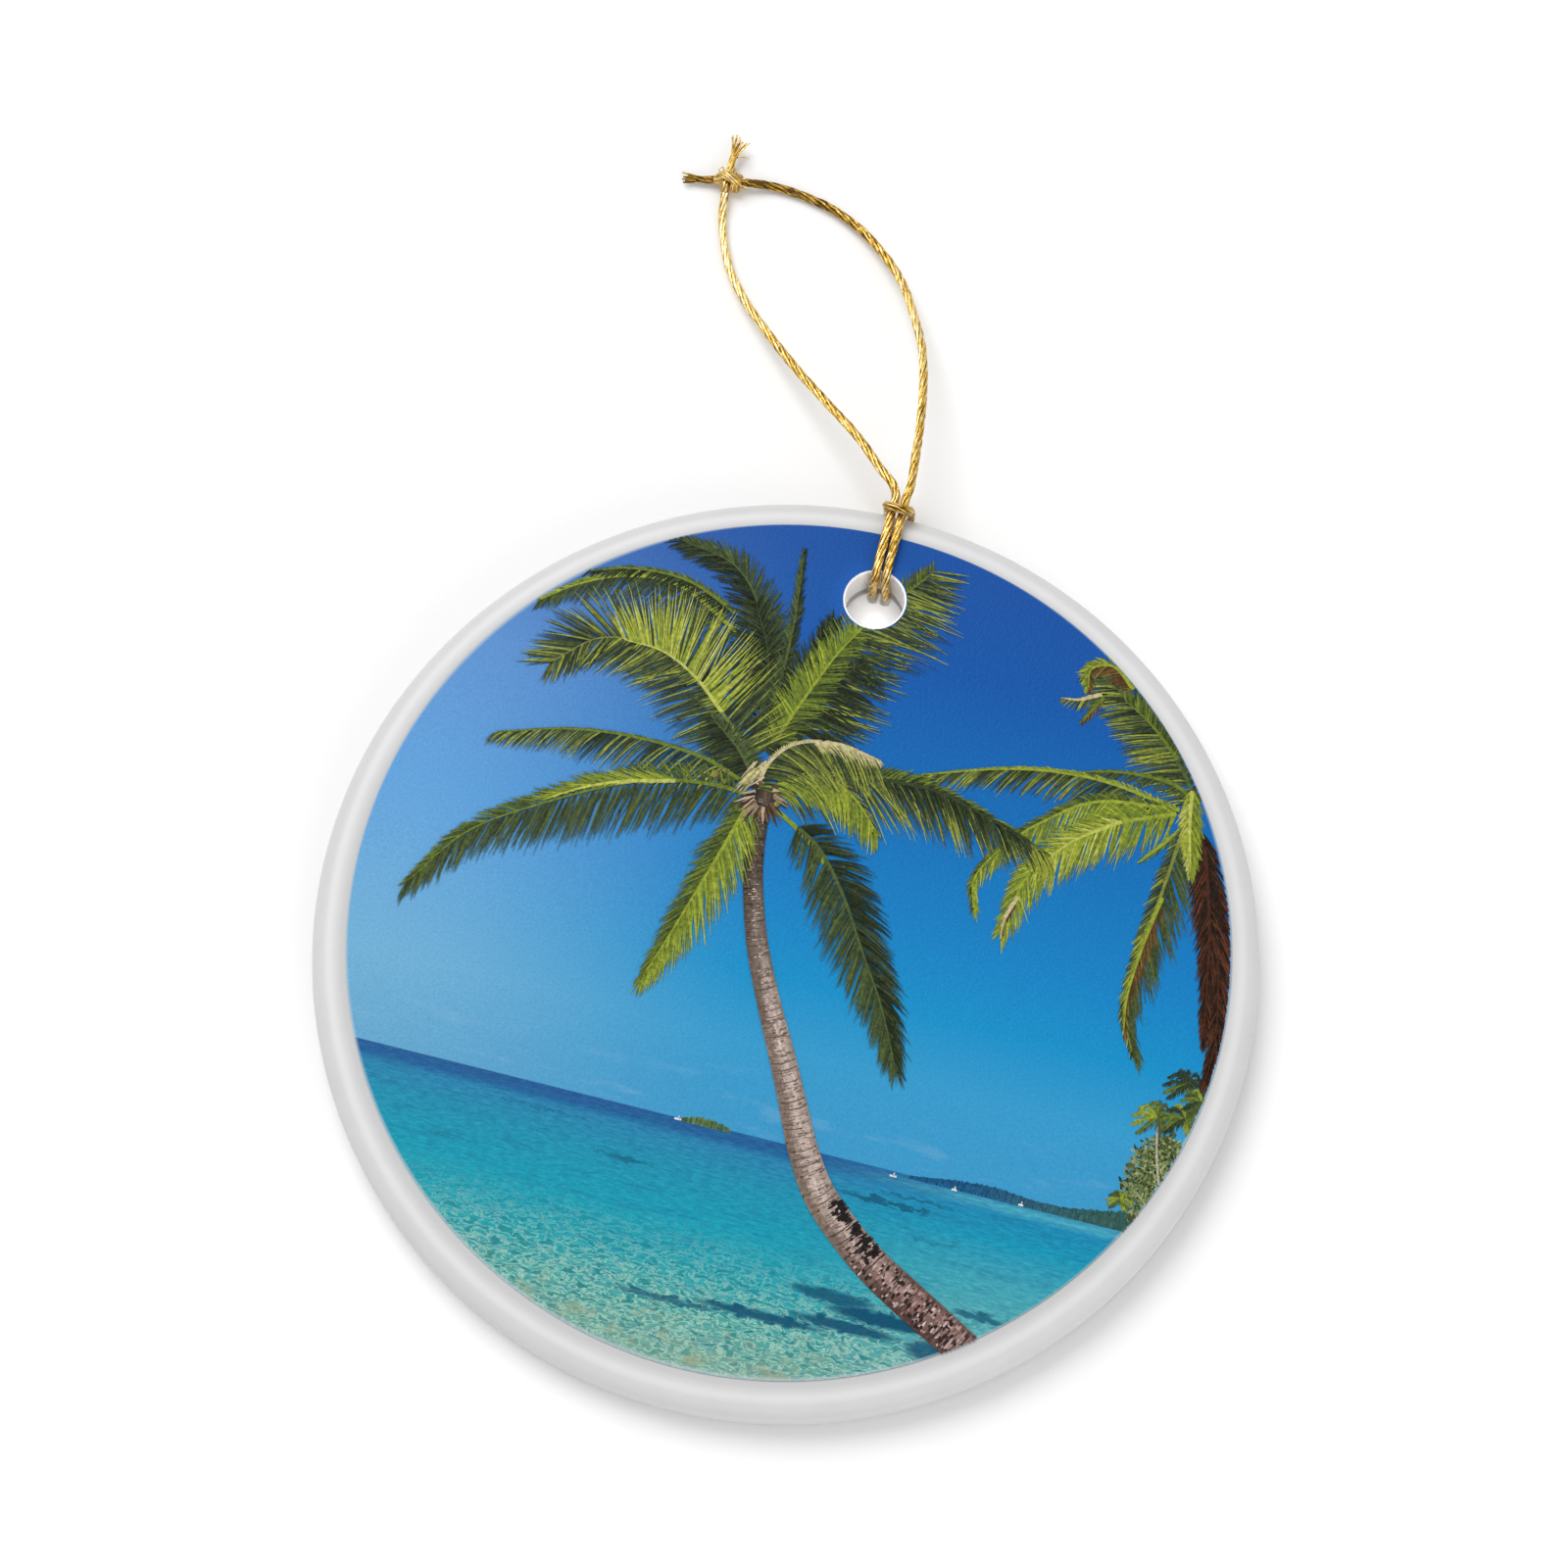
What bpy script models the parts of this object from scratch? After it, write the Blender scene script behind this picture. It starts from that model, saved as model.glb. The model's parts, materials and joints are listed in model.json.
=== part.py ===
"""A round glazed ceramic ornament with a picture on its face. It lies on its back, with the
hanging cord hitched through the hole near its edge and laid out beyond it.

The disc leans a little: its far edge rests on the two strands of cord that pass under it.
Metres, +Z up, +Y from the disc's centre towards the hole, origin on the surface it lies on.
"""

import math

import bmesh
import bpy
from mathutils import Matrix, Vector

# ---- Disc ----
DISC_DIAMETER = 0.0700
DISC_THICKNESS = 0.0035
FACE_EDGE_WIDTH = 0.0015  # the soft glazed edge round the face, an ellipse's quarter
FACE_EDGE_HEIGHT = 0.0012
BACK_EDGE_RADIUS = 0.0004
BORE_DIAMETER = 0.0045
BORE_OFFSET = 0.02765  # from the disc's centre to the bore's
BORE_EDGE_RADIUS = 0.00015

# ---- Picture transfer, a film on the face ----
PICTURE_DIAMETER = 0.0652
PICTURE_SHIFT = (0.0001, 0.0004)  # how far it was laid off centre
PICTURE_THICKNESS = 0.00008
PICTURE_GAP = 0.00002  # to the face under it
PICTURE_BORE_GAP = 0.00003  # round the bore's rounded edge

# ---- Cord ----
CORD_DIAMETER = 0.0007
CORD_GAP = 0.00015  # to the faces that it lies along
RIM_GAP = 0.0003  # to the rim, so that the hitch can turn
FLOOR_GAP = 0.00005
STRAND_GAP = 0.0001  # between the cord's own turns
JOIN_GAP = 0.0003  # where one length of cord meets the knot
CROSSING_INSET = 0.0001  # from the rim in to the middle of the hitch's crossing turn
EXIT_REACH = 0.0010  # from the rim out to where the strands leave the hitch
FOLD_GAP = 0.0010  # between the hitch's strands and the loop, across the fold's axis
EASED_END = 0.6  # a cord's end at the fold, as a share of its diameter
BEND_SHARE = 0.6  # how far a bend's middle point lies from its corner, in cord radii
CROSSING_SHARE = 0.85  # how wide the crossing turn still is as it climbs over the strands

# ---- Loop, as it lies: x, y from the fold's axis, and height as a share of the fold's ----
LEFT_LEG = [
    (-0.0009, 0.0005, 1.00),
    (-0.0020, 0.0015, 0.94),
    (-0.0044, 0.0040, 0.78),
    (-0.0072, 0.0064, 0.60),
    (-0.0101, 0.0088, 0.43),
    (-0.0133, 0.0117, 0.26),
    (-0.0160, 0.0144, 0.13),
    (-0.0180, 0.0170, 0.05),
    (-0.0192, 0.0195, 0.01),
    (-0.0199, 0.0216, 0.02),
    (-0.0202, 0.0236, 0.10),
]
RIGHT_LEG = [
    (0.0005, 0.0005, 1.00),
    (0.0004, 0.0020, 0.95),
    (0.0002, 0.0040, 0.89),
    (-0.0001, 0.0066, 0.80),
    (-0.0006, 0.0097, 0.68),
    (-0.0014, 0.0129, 0.53),
    (-0.0027, 0.0159, 0.38),
    (-0.0044, 0.0189, 0.25),
    (-0.0064, 0.0212, 0.14),
    (-0.0087, 0.0231, 0.06),
    (-0.0115, 0.0245, 0.02),
    (-0.0145, 0.0252, 0.00),
    (-0.0169, 0.0253, 0.02),
    (-0.0189, 0.0249, 0.10),
]

# ---- Knot and its two cut ends ----
KNOT_CENTRE = (-0.0202, 0.0248)  # from the fold's axis
KNOT_SIZE = (0.0020, 0.0018, 0.0016)
TAIL_UP_DIRECTION = (0.0, 1.0, 0.0)
TAIL_UP_LENGTH = 0.0024
TAIL_UP_RISE = 0.0004
TAIL_SIDE_DIRECTION = (-1.0, -0.15, 0.0)
TAIL_SIDE_LENGTH = 0.0024
TAIL_SPREAD = 1.6  # the frayed end's width, as a share of the cord's

# ---- Fineness of the solids ----
DISC_STEPS = 96
BORE_STEPS = 32
EDGE_STEPS = 5
CORD_ROUNDNESS = 2
LEG_SPACING = 2.2  # between a leg's points, in cord diameters
HITCH_SPACING = 0.75  # closer, for the tight turns round the rim
CURVE_SAMPLES = 24  # per stretch, when a smooth route is measured
KNOT_STEPS = 16
KNOT_RINGS = 10

# ---- Worked out from those ----
DISC_RADIUS = DISC_DIAMETER / 2
BORE_RADIUS = BORE_DIAMETER / 2
CORD_RADIUS = CORD_DIAMETER / 2
BORE_WALL = BORE_OFFSET + BORE_RADIUS
REST_EDGE = DISC_RADIUS - BACK_EDGE_RADIUS  # where the flat back meets its edge
LEAN = math.asin((CORD_DIAMETER + CORD_GAP + FLOOR_GAP) / (BORE_WALL + REST_EDGE))
PICTURE_TOP = DISC_THICKNESS + PICTURE_GAP + PICTURE_THICKNESS
FACE_CORD_HEIGHT = PICTURE_TOP + CORD_GAP + CORD_RADIUS
BACK_CORD_HEIGHT = -(CORD_GAP + CORD_RADIUS)
FOLD_REACH = DISC_RADIUS + EXIT_REACH + FOLD_GAP / 2
FLOOR_CORD_HEIGHT = CORD_RADIUS + FLOOR_GAP


def clear_scene():
    """Takes away what the scene starts with."""
    for obj in list(bpy.data.objects):
        bpy.data.objects.remove(obj)


def make_collection(name):
    """A new collection in the scene."""
    collection = bpy.data.collections.new(name)
    bpy.context.scene.collection.children.link(collection)
    return collection


def make_material(name, colour, roughness, metallic=0.0):
    """A plain Principled material."""
    material = bpy.data.materials.new(name)
    material.use_nodes = True
    shader = material.node_tree.nodes["Principled BSDF"]
    shader.inputs["Base Color"].default_value = (*colour, 1)
    shader.inputs["Roughness"].default_value = roughness
    shader.inputs["Metallic"].default_value = metallic
    material.diffuse_color = (*colour, 1)
    return material


def add_object(name, data, collection, material=None, parent=None, location=(0, 0, 0)):
    """A new object, placed under its parent."""
    obj = bpy.data.objects.new(name, data)
    collection.objects.link(obj)
    obj.parent = parent
    obj.location = location
    if material:
        data.materials.append(material)
    return obj


def add_pivot(name, collection, parent=None, location=(0, 0, 0), tilt=0.0):
    """An empty that carries what turns with it. tilt is about X."""
    pivot = add_object(name, None, collection, parent=parent, location=location)
    pivot.rotation_euler = (tilt, 0, 0)
    pivot.empty_display_size = CORD_DIAMETER * 3
    return pivot


def quarter(centre, width, height, start, end):
    """Points of an ellipse's arc in XZ, from one angle to another."""
    points = []
    for step in range(EDGE_STEPS + 1):
        angle = start + (end - start) * step / EDGE_STEPS
        points.append((centre[0] + width * math.cos(angle), centre[1] + height * math.sin(angle)))
    return points


def turned(name, profile, steps, collection, parent, place, material=None):
    """A solid of revolution about Z from (radius, height) points, top to bottom."""
    mesh = bpy.data.meshes.new(name)
    shape = bmesh.new()
    corners = [shape.verts.new((radius, 0, height)) for radius, height in profile]
    for first, second in zip(corners, corners[1:]):
        shape.edges.new((first, second))
    shape.to_mesh(mesh)
    shape.free()
    obj = add_object(name, mesh, collection, material, parent, place)
    screw = obj.modifiers.new("turn", "SCREW")
    screw.steps = steps
    screw.render_steps = steps
    screw.use_merge_vertices = True
    screw.merge_threshold = 0.000001
    return obj


def make_bore_cutter(cutters, parent):
    """The bore's straight wall, opening out in a small rounded edge at each face."""
    edge = BORE_EDGE_RADIUS
    mouth = BORE_RADIUS + edge
    over = DISC_THICKNESS / 2
    top = quarter((mouth, DISC_THICKNESS - edge), edge, edge, math.pi / 2, math.pi)
    bottom = quarter((mouth, edge), edge, edge, math.pi, 3 * math.pi / 2)
    profile = [(0, DISC_THICKNESS + over), (mouth, DISC_THICKNESS + over)]
    profile += top + bottom
    profile += [(mouth, -over), (0, -over)]
    place = (0, REST_EDGE + BORE_OFFSET, 0)
    cutter = turned("bore_cutter", profile, BORE_STEPS, cutters, parent, place)
    cutter.hide_render = True
    cutter.display_type = "WIRE"
    return cutter


def make_disc(collection, cutters, material, lean):
    """The glazed ceramic disc, with its hole."""
    face_edge = quarter(
        (DISC_RADIUS - FACE_EDGE_WIDTH, DISC_THICKNESS - FACE_EDGE_HEIGHT),
        FACE_EDGE_WIDTH,
        FACE_EDGE_HEIGHT,
        math.pi / 2,
        0,
    )
    back_edge = quarter(
        (REST_EDGE, BACK_EDGE_RADIUS), BACK_EDGE_RADIUS, BACK_EDGE_RADIUS, 0, -math.pi / 2
    )
    profile = [(0, DISC_THICKNESS)] + face_edge + back_edge + [(0, 0)]
    place = (0, REST_EDGE, 0)
    disc = turned("ceramic_disc", profile, DISC_STEPS, collection, lean, place, material)
    bore = disc.modifiers.new("bore", "BOOLEAN")
    bore.operation = "DIFFERENCE"
    bore.solver = "EXACT"
    bore.object = make_bore_cutter(cutters, lean)
    return disc


def add_circle(curve, centre, radius, resolution):
    """A round outline in a flat curve."""
    handle = radius * 4 / 3 * math.tan(math.pi / 8)
    spline = curve.splines.new("BEZIER")
    spline.bezier_points.add(3)
    spline.use_cyclic_u = True
    spline.resolution_u = resolution
    for index, point in enumerate(spline.bezier_points):
        out = Vector((math.cos(index * math.pi / 2), math.sin(index * math.pi / 2), 0))
        along = Vector((-out.y, out.x, 0))
        point.co = Vector((*centre, 0)) + out * radius
        point.handle_left = point.co - along * handle
        point.handle_right = point.co + along * handle


def make_picture(collection, material, lean):
    """The printed film, a thin flat plate with the hole left out."""
    curve = bpy.data.curves.new("picture_transfer", "CURVE")
    curve.dimensions = "2D"
    curve.fill_mode = "BOTH"
    curve.extrude = PICTURE_THICKNESS / 2
    add_circle(curve, PICTURE_SHIFT, PICTURE_DIAMETER / 2, DISC_STEPS // 4)
    hole = BORE_RADIUS + BORE_EDGE_RADIUS + PICTURE_BORE_GAP
    add_circle(curve, (0, BORE_OFFSET), hole, BORE_STEPS // 4)
    height = DISC_THICKNESS + PICTURE_GAP + PICTURE_THICKNESS / 2
    location = (0, REST_EDGE, height)
    return add_object("picture_transfer", curve, collection, material, lean, location)


def smooth_route(points, spacing):
    """Evenly spaced points on a smooth curve through the route's own points."""
    places = [Vector(point) for point in points]
    places = [2 * places[0] - places[1]] + places + [2 * places[-1] - places[-2]]
    fine = [places[1]]
    for index in range(1, len(places) - 2):
        before, start, end, after = places[index - 1 : index + 3]
        for step in range(1, CURVE_SAMPLES + 1):
            t = step / CURVE_SAMPLES
            fine.append(
                0.5
                * (
                    2 * start
                    + (end - before) * t
                    + (2 * before - 5 * start + 4 * end - after) * t**2
                    + (3 * start - before - 3 * end + after) * t**3
                )
            )
    reached = [0.0]
    for first, second in zip(fine, fine[1:]):
        reached.append(reached[-1] + (second - first).length)
    count = max(2, round(reached[-1] / spacing))
    route = []
    stretch = 0
    for index in range(count + 1):
        wanted = reached[-1] * index / count
        while stretch < len(fine) - 2 and reached[stretch + 1] < wanted:
            stretch += 1
        share = (wanted - reached[stretch]) / (reached[stretch + 1] - reached[stretch])
        route.append(fine[stretch].lerp(fine[stretch + 1], share))
    return route


def make_cord(name, route, thickness, collection, material, parent):
    """A length of cord. thickness gives each point's share of the cord's diameter."""
    curve = bpy.data.curves.new(name, "CURVE")
    curve.dimensions = "3D"
    curve.bevel_depth = CORD_RADIUS
    curve.bevel_resolution = CORD_ROUNDNESS
    curve.use_fill_caps = True
    spline = curve.splines.new("POLY")
    spline.points.add(len(route) - 1)
    for index, (point, place) in enumerate(zip(spline.points, route)):
        point.co = (*place, 1)
        point.radius = thickness(index, len(route) - 1)
    return add_object(name, curve, collection, material, parent)


def eased_both_ends(index, last):
    """Full thickness, but for the two ends."""
    return EASED_END if index in (0, last) else 1.0


def eased_start(index, last):
    """Full thickness, but for the first end."""
    return EASED_END if index == 0 else 1.0


def spreading(index, last):
    """Widens evenly to the frayed end."""
    return 1 + (TAIL_SPREAD - 1) * index / last


def bore_run(offset):
    """How far from the bore's axis a strand lies against its wall, at that sideways offset."""
    return math.sqrt((BORE_RADIUS - CORD_GAP - CORD_RADIUS) ** 2 - offset**2)


def half_hitch():
    """Half of the hitch, from where it leaves for the loop to the middle of its crossing turn.

    x is sideways, y is from the bore's axis towards the rim and z is up from the disc's back.
    """
    near = CORD_RADIUS + STRAND_GAP / 2
    wide = near + CORD_DIAMETER + STRAND_GAP
    between = (near + wide) / 2
    wall = BORE_RADIUS
    rim = DISC_RADIUS - BORE_OFFSET
    outside = rim + RIM_GAP + CORD_RADIUS
    crossing = rim - CROSSING_INSET
    top = FACE_CORD_HEIGHT
    over = top + CORD_DIAMETER + STRAND_GAP
    bend = CORD_RADIUS * BEND_SHARE
    return [
        (near, rim + EXIT_REACH, top),
        (near, rim, top),
        (near, (rim + wall) / 2, top),
        (near, wall + CORD_RADIUS, top),
        (near, bore_run(near) + bend, top - bend),
        (near, bore_run(near), DISC_THICKNESS - CORD_RADIUS),
        (between, bore_run(between), DISC_THICKNESS / 2),
        (wide, bore_run(wide), CORD_RADIUS),
        (wide, wall - CORD_DIAMETER, BACK_CORD_HEIGHT + bend),
        (wide, wall, BACK_CORD_HEIGHT),
        (wide, (wall + rim) / 2, BACK_CORD_HEIGHT),
        (wide, rim, BACK_CORD_HEIGHT),
        (wide, outside, CORD_RADIUS),
        (wide, outside, DISC_THICKNESS / 2),
        (wide, outside, DISC_THICKNESS),
        (wide * CROSSING_SHARE, (outside + crossing) / 2, (top + over) / 2),
        (0, crossing, over),
    ]


def make_hitch(collection, material, swing):
    """The cord's middle: two strands over the face and under the back, and the turn over them."""
    half = half_hitch()
    left = [(-x, y, z) for x, y, z in half]
    route = smooth_route(left[:-1] + half[::-1], CORD_DIAMETER * HITCH_SPACING)
    return make_cord("hitch_cord", route, eased_both_ends, collection, material, swing)


def lowered(points, fold_height):
    """The leg's points about the fold's axis, with their heights above the floor worked out."""
    drop = fold_height - FLOOR_CORD_HEIGHT
    return [(x, y, (share - 1) * drop) for x, y, share in points]


def make_leg(name, points, fold_height, collection, material, fold):
    """One side of the loop."""
    route = smooth_route(lowered(points, fold_height), CORD_DIAMETER * LEG_SPACING)
    return make_cord(name, route, eased_start, collection, material, fold)


def make_knot(collection, material, fold, fold_height):
    """The overhand knot's outer shape, resting on the floor."""
    mesh = bpy.data.meshes.new("top_knot")
    shape = bmesh.new()
    size = Matrix.Diagonal((*KNOT_SIZE, 1))
    bmesh.ops.create_uvsphere(
        shape, u_segments=KNOT_STEPS, v_segments=KNOT_RINGS, radius=0.5, matrix=size
    )
    shape.to_mesh(mesh)
    shape.free()
    mesh.shade_smooth()
    height = KNOT_SIZE[2] / 2 + FLOOR_GAP - fold_height
    location = (*KNOT_CENTRE, height)
    return add_object("top_knot", mesh, collection, material, fold, location)


def tail_route(direction, length, rise):
    """From just off the knot's side out to the cut end, about the knot's centre."""
    axis = Vector(direction).normalized()
    knot_side = 0.5 / math.hypot(axis.x / KNOT_SIZE[0], axis.y / KNOT_SIZE[1])
    start = axis * (knot_side + JOIN_GAP)
    tip = start + axis * length + Vector((0, 0, rise))
    return smooth_route([start, (start + tip) / 2, tip], CORD_DIAMETER)


def main():
    """Builds the ornament."""
    clear_scene()
    collection = make_collection("souvenir_ornament")
    cutters = make_collection("cutters")
    ceramic = make_material("glazed_white_ceramic", (0.86, 0.86, 0.85), 0.18)
    print_film = make_material("beach_picture_print", (0.05, 0.22, 0.60), 0.35)
    gold = make_material("gold_metallic_cord", (0.80, 0.58, 0.20), 0.35, 0.9)

    lean = add_pivot("disc_lean", collection, location=(0, -REST_EDGE, 0), tilt=LEAN)
    make_disc(collection, cutters, ceramic, lean)
    make_picture(collection, print_film, lean)

    bore = (0, REST_EDGE + BORE_OFFSET, 0)
    swing = add_pivot("hitch_swing_axis", collection, lean, bore)
    make_hitch(collection, gold, swing)

    reach = (0, FOLD_REACH - BORE_OFFSET, FACE_CORD_HEIGHT)
    fold = add_pivot("loop_fold_axis", collection, swing, reach, tilt=-LEAN)
    fold_height = (REST_EDGE + FOLD_REACH) * math.sin(LEAN) + FACE_CORD_HEIGHT * math.cos(LEAN)
    make_leg("loop_left_leg", LEFT_LEG, fold_height, collection, gold, fold)
    make_leg("loop_right_leg", RIGHT_LEG, fold_height, collection, gold, fold)

    knot = make_knot(collection, gold, fold, fold_height)
    up = tail_route(TAIL_UP_DIRECTION, TAIL_UP_LENGTH, TAIL_UP_RISE)
    side = tail_route(TAIL_SIDE_DIRECTION, TAIL_SIDE_LENGTH, 0)
    make_cord("frayed_tail_up", up, spreading, collection, gold, knot)
    make_cord("frayed_tail_side", side, spreading, collection, gold, knot)


main()
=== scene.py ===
"""The finished look of a round ceramic souvenir ornament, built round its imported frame.

The disc, its printed picture and the gold cord are made afresh in the frame's own place and size.
Metres, +Z up, +Y from the disc's centre towards its hole. MM turns millimetres into metres.
"""

import collections
import json
import math
import random

import bmesh
import bpy
import numpy as np
from mathutils import Matrix, Vector


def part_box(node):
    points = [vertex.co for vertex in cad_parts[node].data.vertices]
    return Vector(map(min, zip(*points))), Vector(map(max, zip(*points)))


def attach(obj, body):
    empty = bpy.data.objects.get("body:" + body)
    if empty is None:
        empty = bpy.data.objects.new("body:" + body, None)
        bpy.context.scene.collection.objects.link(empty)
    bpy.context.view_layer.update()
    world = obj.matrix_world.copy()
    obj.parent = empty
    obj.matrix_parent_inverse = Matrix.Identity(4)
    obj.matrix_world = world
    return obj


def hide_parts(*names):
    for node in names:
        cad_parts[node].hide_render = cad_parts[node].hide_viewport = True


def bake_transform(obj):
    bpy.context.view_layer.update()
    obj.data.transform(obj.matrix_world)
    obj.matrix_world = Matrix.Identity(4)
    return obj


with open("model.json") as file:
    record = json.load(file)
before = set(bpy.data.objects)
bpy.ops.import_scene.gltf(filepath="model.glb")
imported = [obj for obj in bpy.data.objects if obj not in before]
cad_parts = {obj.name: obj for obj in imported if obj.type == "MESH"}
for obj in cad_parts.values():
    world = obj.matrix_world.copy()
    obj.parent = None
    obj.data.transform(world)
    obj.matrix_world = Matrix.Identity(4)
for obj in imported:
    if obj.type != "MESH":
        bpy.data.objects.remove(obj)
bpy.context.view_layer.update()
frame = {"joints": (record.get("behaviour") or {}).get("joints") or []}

MM = 0.001

# ---- The disc's place and size, from the frame ----
JOINTS = {joint["name"]: joint for joint in frame["joints"]}
SWING_AXIS = Vector(JOINTS["hitch_swing"]["axis"])
FOLD_PLACE = Vector(JOINTS["loop_fold"]["pos_m"])
DISC_LOW, DISC_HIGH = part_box("ceramic_disc")
DISC_RADIUS = (DISC_HIGH.x - DISC_LOW.x) / 2
LEAN = math.atan2(-SWING_AXIS.y, SWING_AXIS.z)
BACK_EDGE_RADIUS = 0.4 * MM
REST_EDGE = DISC_RADIUS - BACK_EDGE_RADIUS
ON_DISC = (
    Matrix.Translation((0, -REST_EDGE, 0))
    @ Matrix.Rotation(LEAN, 4, "X")
    @ Matrix.Translation((0, REST_EDGE, 0))
)
BORE_OFFSET = (ON_DISC.inverted() @ Vector(JOINTS["hitch_swing"]["pos_m"])).y
FOLD_HEIGHT = FOLD_PLACE.z

# ---- Sizes, the same as the CAD's ----
DISC_THICKNESS = 3.5 * MM
FACE_EDGE_WIDTH = 1.5 * MM
FACE_EDGE_HEIGHT = 1.2 * MM
BORE_RADIUS = 2.25 * MM
BORE_EDGE_RADIUS = 0.15 * MM
FILM_RADIUS = 32.6 * MM
FILM_SHIFT = (0.1 * MM, 0.4 * MM)
FILM_THICKNESS = 0.08 * MM
FILM_TOP = DISC_THICKNESS + 0.1 * MM
CORD_DIAMETER = 0.7 * MM
CORD_RADIUS = CORD_DIAMETER / 2
CORD_GAP = 0.15 * MM
STRAND_GAP = 0.1 * MM
RIM_GAP = 0.3 * MM
FLOOR_GAP = 0.05 * MM

# ---- Sizes of the scene's own, and three of the others in millimetres ----
FILM_HOLE = BORE_RADIUS + BORE_EDGE_RADIUS + 0.02 * MM
FILM_MM = FILM_RADIUS / MM
BORE_MM = BORE_OFFSET / MM
SHOULDER_MM = (DISC_RADIUS - FACE_EDGE_WIDTH) / MM

# ---- Hitch, drawn in closer than the CAD's ----
CROSSING_INSET = 0.15 * MM
BORE_SPREAD = 0.15 * MM  # how much further from the middle the strands are in the bore
COLLAR_SPREAD = 0.52 * MM  # and how much further round the rim
EXIT_REACH = 1.0 * MM
BEND_SHARE = 0.6  # of the cord's radius, how far it cuts the corner at the bore's ends
COLLAR_SLACK = 0.08 * MM  # how much further off the rim the collar stands

# ---- Camera, from above and a little below the ornament ----
CAMERA_PLACE = Vector((0.01561, -0.06796, 0.24956))
CAMERA_AIM = Vector((-0.00341, 0.01300, 0.0))
CAMERA_UP = Vector((-0.2341, 0.9194, 0.3161))
CAMERA_LENS = 79.48
CAMERA_SENSOR = 36
CAMERA_REACH = (0.01, 20)

# ---- Lights and floor ----
SURROUND_STRENGTH = 0.555
LIGHT_DISTANCE = 1.6
KEY_DIRECTION = (-0.42, 0.40, 0.82)
KEY_SIZE = 1.15
KEY_POWER = 15.2
FILL_DIRECTION = (0.66, -0.62, 0.40)
FILL_SIZE = 1.6
FILL_POWER = 9.0
BORE_LIGHT_HEIGHT = 0.25
BORE_LIGHT_CONE = math.radians(1.0)
BORE_LIGHT_POWER = 1.7
BORE_LIGHT_BLEND = 0.3
BORE_LIGHT_SIZE = 0.002
FLOOR_HALF_SIDE = 3.0
FLOOR_WHITE = (0.95, 0.95, 0.95)

# ---- Loop, as it lies: x, y from the fold's axis in mm, and height as a share of the fold's ----
LEFT_LEG = [
    (-0.9, 0.5, 1.00),
    (-2.0, 1.5, 0.94),
    (-4.4, 4.0, 0.78),
    (-7.2, 6.4, 0.60),
    (-10.1, 8.8, 0.43),
    (-13.3, 11.7, 0.26),
    (-16.0, 14.4, 0.13),
    (-18.0, 17.0, 0.05),
    (-19.2, 19.5, 0.01),
    (-19.9, 21.6, 0.02),
    (-20.2, 23.6, 0.10),
]
RIGHT_LEG = [
    (0.5, 0.5, 1.00),
    (0.4, 2.0, 0.95),
    (0.2, 4.0, 0.89),
    (-0.1, 6.6, 0.80),
    (-0.6, 9.7, 0.68),
    (-1.4, 12.9, 0.53),
    (-2.7, 15.9, 0.38),
    (-4.4, 18.9, 0.25),
    (-6.4, 21.2, 0.14),
    (-8.7, 23.1, 0.06),
    (-11.5, 24.5, 0.02),
    (-14.5, 25.2, 0.00),
    (-16.9, 25.3, 0.02),
    (-18.9, 24.9, 0.10),
]

# ---- Cord's make ----
STRANDS = 6
STRAND_RADIUS = 0.135 * MM
STRAND_RING = CORD_RADIUS - STRAND_RADIUS
LAY_LENGTH = 8.0 * MM  # one full turn of the twist
RING_STEP = 0.11 * MM
STRAND_SIDES = 8
STRAND_WANDER = 0.10
RING_WANDER = 0.05
WANDER_LENGTHS = (1.1 * MM, 1.9 * MM, 3.3 * MM)
THREAD_SIDES = 7
CURVE_SAMPLES = 24
CORD_TONE_LENGTH = 120.0  # mm, the length that the cord's tones are spread over
CORD_TONES = [
    (0.0, 0.70),
    (0.06, 0.72),
    (0.13, 0.52),
    (0.25, 0.54),
    (0.45, 0.48),
    (0.72, 0.54),
    (0.80, 0.68),
    (0.89, 0.36),
    (1.0, 0.26),
]
# The darkest stops are painted dark reflections and the lightest are painted highlights of the metal.
GOLD_TONES_AND_GLINTS = [
    (0.32, (0.030, 0.014, 0.003)),
    (0.40, (0.20, 0.105, 0.012)),
    (0.46, (0.58, 0.32, 0.035)),
    (0.53, (0.88, 0.54, 0.095)),
    (0.59, (1.0, 0.77, 0.30)),
    (0.66, (1.0, 0.95, 0.72)),
]
KNOT_TONE_AT = 0.105 * CORD_TONE_LENGTH
UP_TAIL_TONE_AT = 0.14 * CORD_TONE_LENGTH
SIDE_TAIL_TONE_AT = 0.93 * CORD_TONE_LENGTH

# ---- Knot, from the fold's axis, in mm and height above the floor ----
CORE_TURN = [
    (-21.2, 24.7, 0.75),
    (-20.6, 24.9, 1.35),
    (-20.0, 24.7, 1.55),
    (-19.5, 24.6, 1.25),
    (-19.2, 24.8, 0.7),
]
UP_THROUGH = [(-20.2, 23.4, 0.5), (-20.3, 24.2, 0.85), (-20.3, 25.0, 0.85), (-20.2, 25.9, 0.75)]
SIDE_THROUGH = [(-18.6, 24.9, 0.5), (-19.5, 24.9, 0.7), (-20.4, 24.8, 0.7), (-21.4, 24.7, 0.55)]
WRAP_PLACE = (-19.55, 24.75, 0.75)
WRAP_RADII = (0.62, 0.50)
WRAP_TURNS = 2
WRAP_WIDTH = 0.42
WRAP_STEPS = 24  # in each turn
WRAP_SHARE = 0.66  # of the cord's thickness, as the wraps are pulled tight
UP_TAIL = [(-20.25, 25.7, 0.75), (-20.35, 26.4, 0.8), (-20.3, 27.0, 0.9)]
UP_TIP = (-20.1, 28.4, 1.25)
UP_FAN = 0.95
SIDE_TAIL = [(-21.2, 24.75, 0.6), (-22.1, 24.55, 0.5), (-22.8, 24.45, 0.5)]
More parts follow.
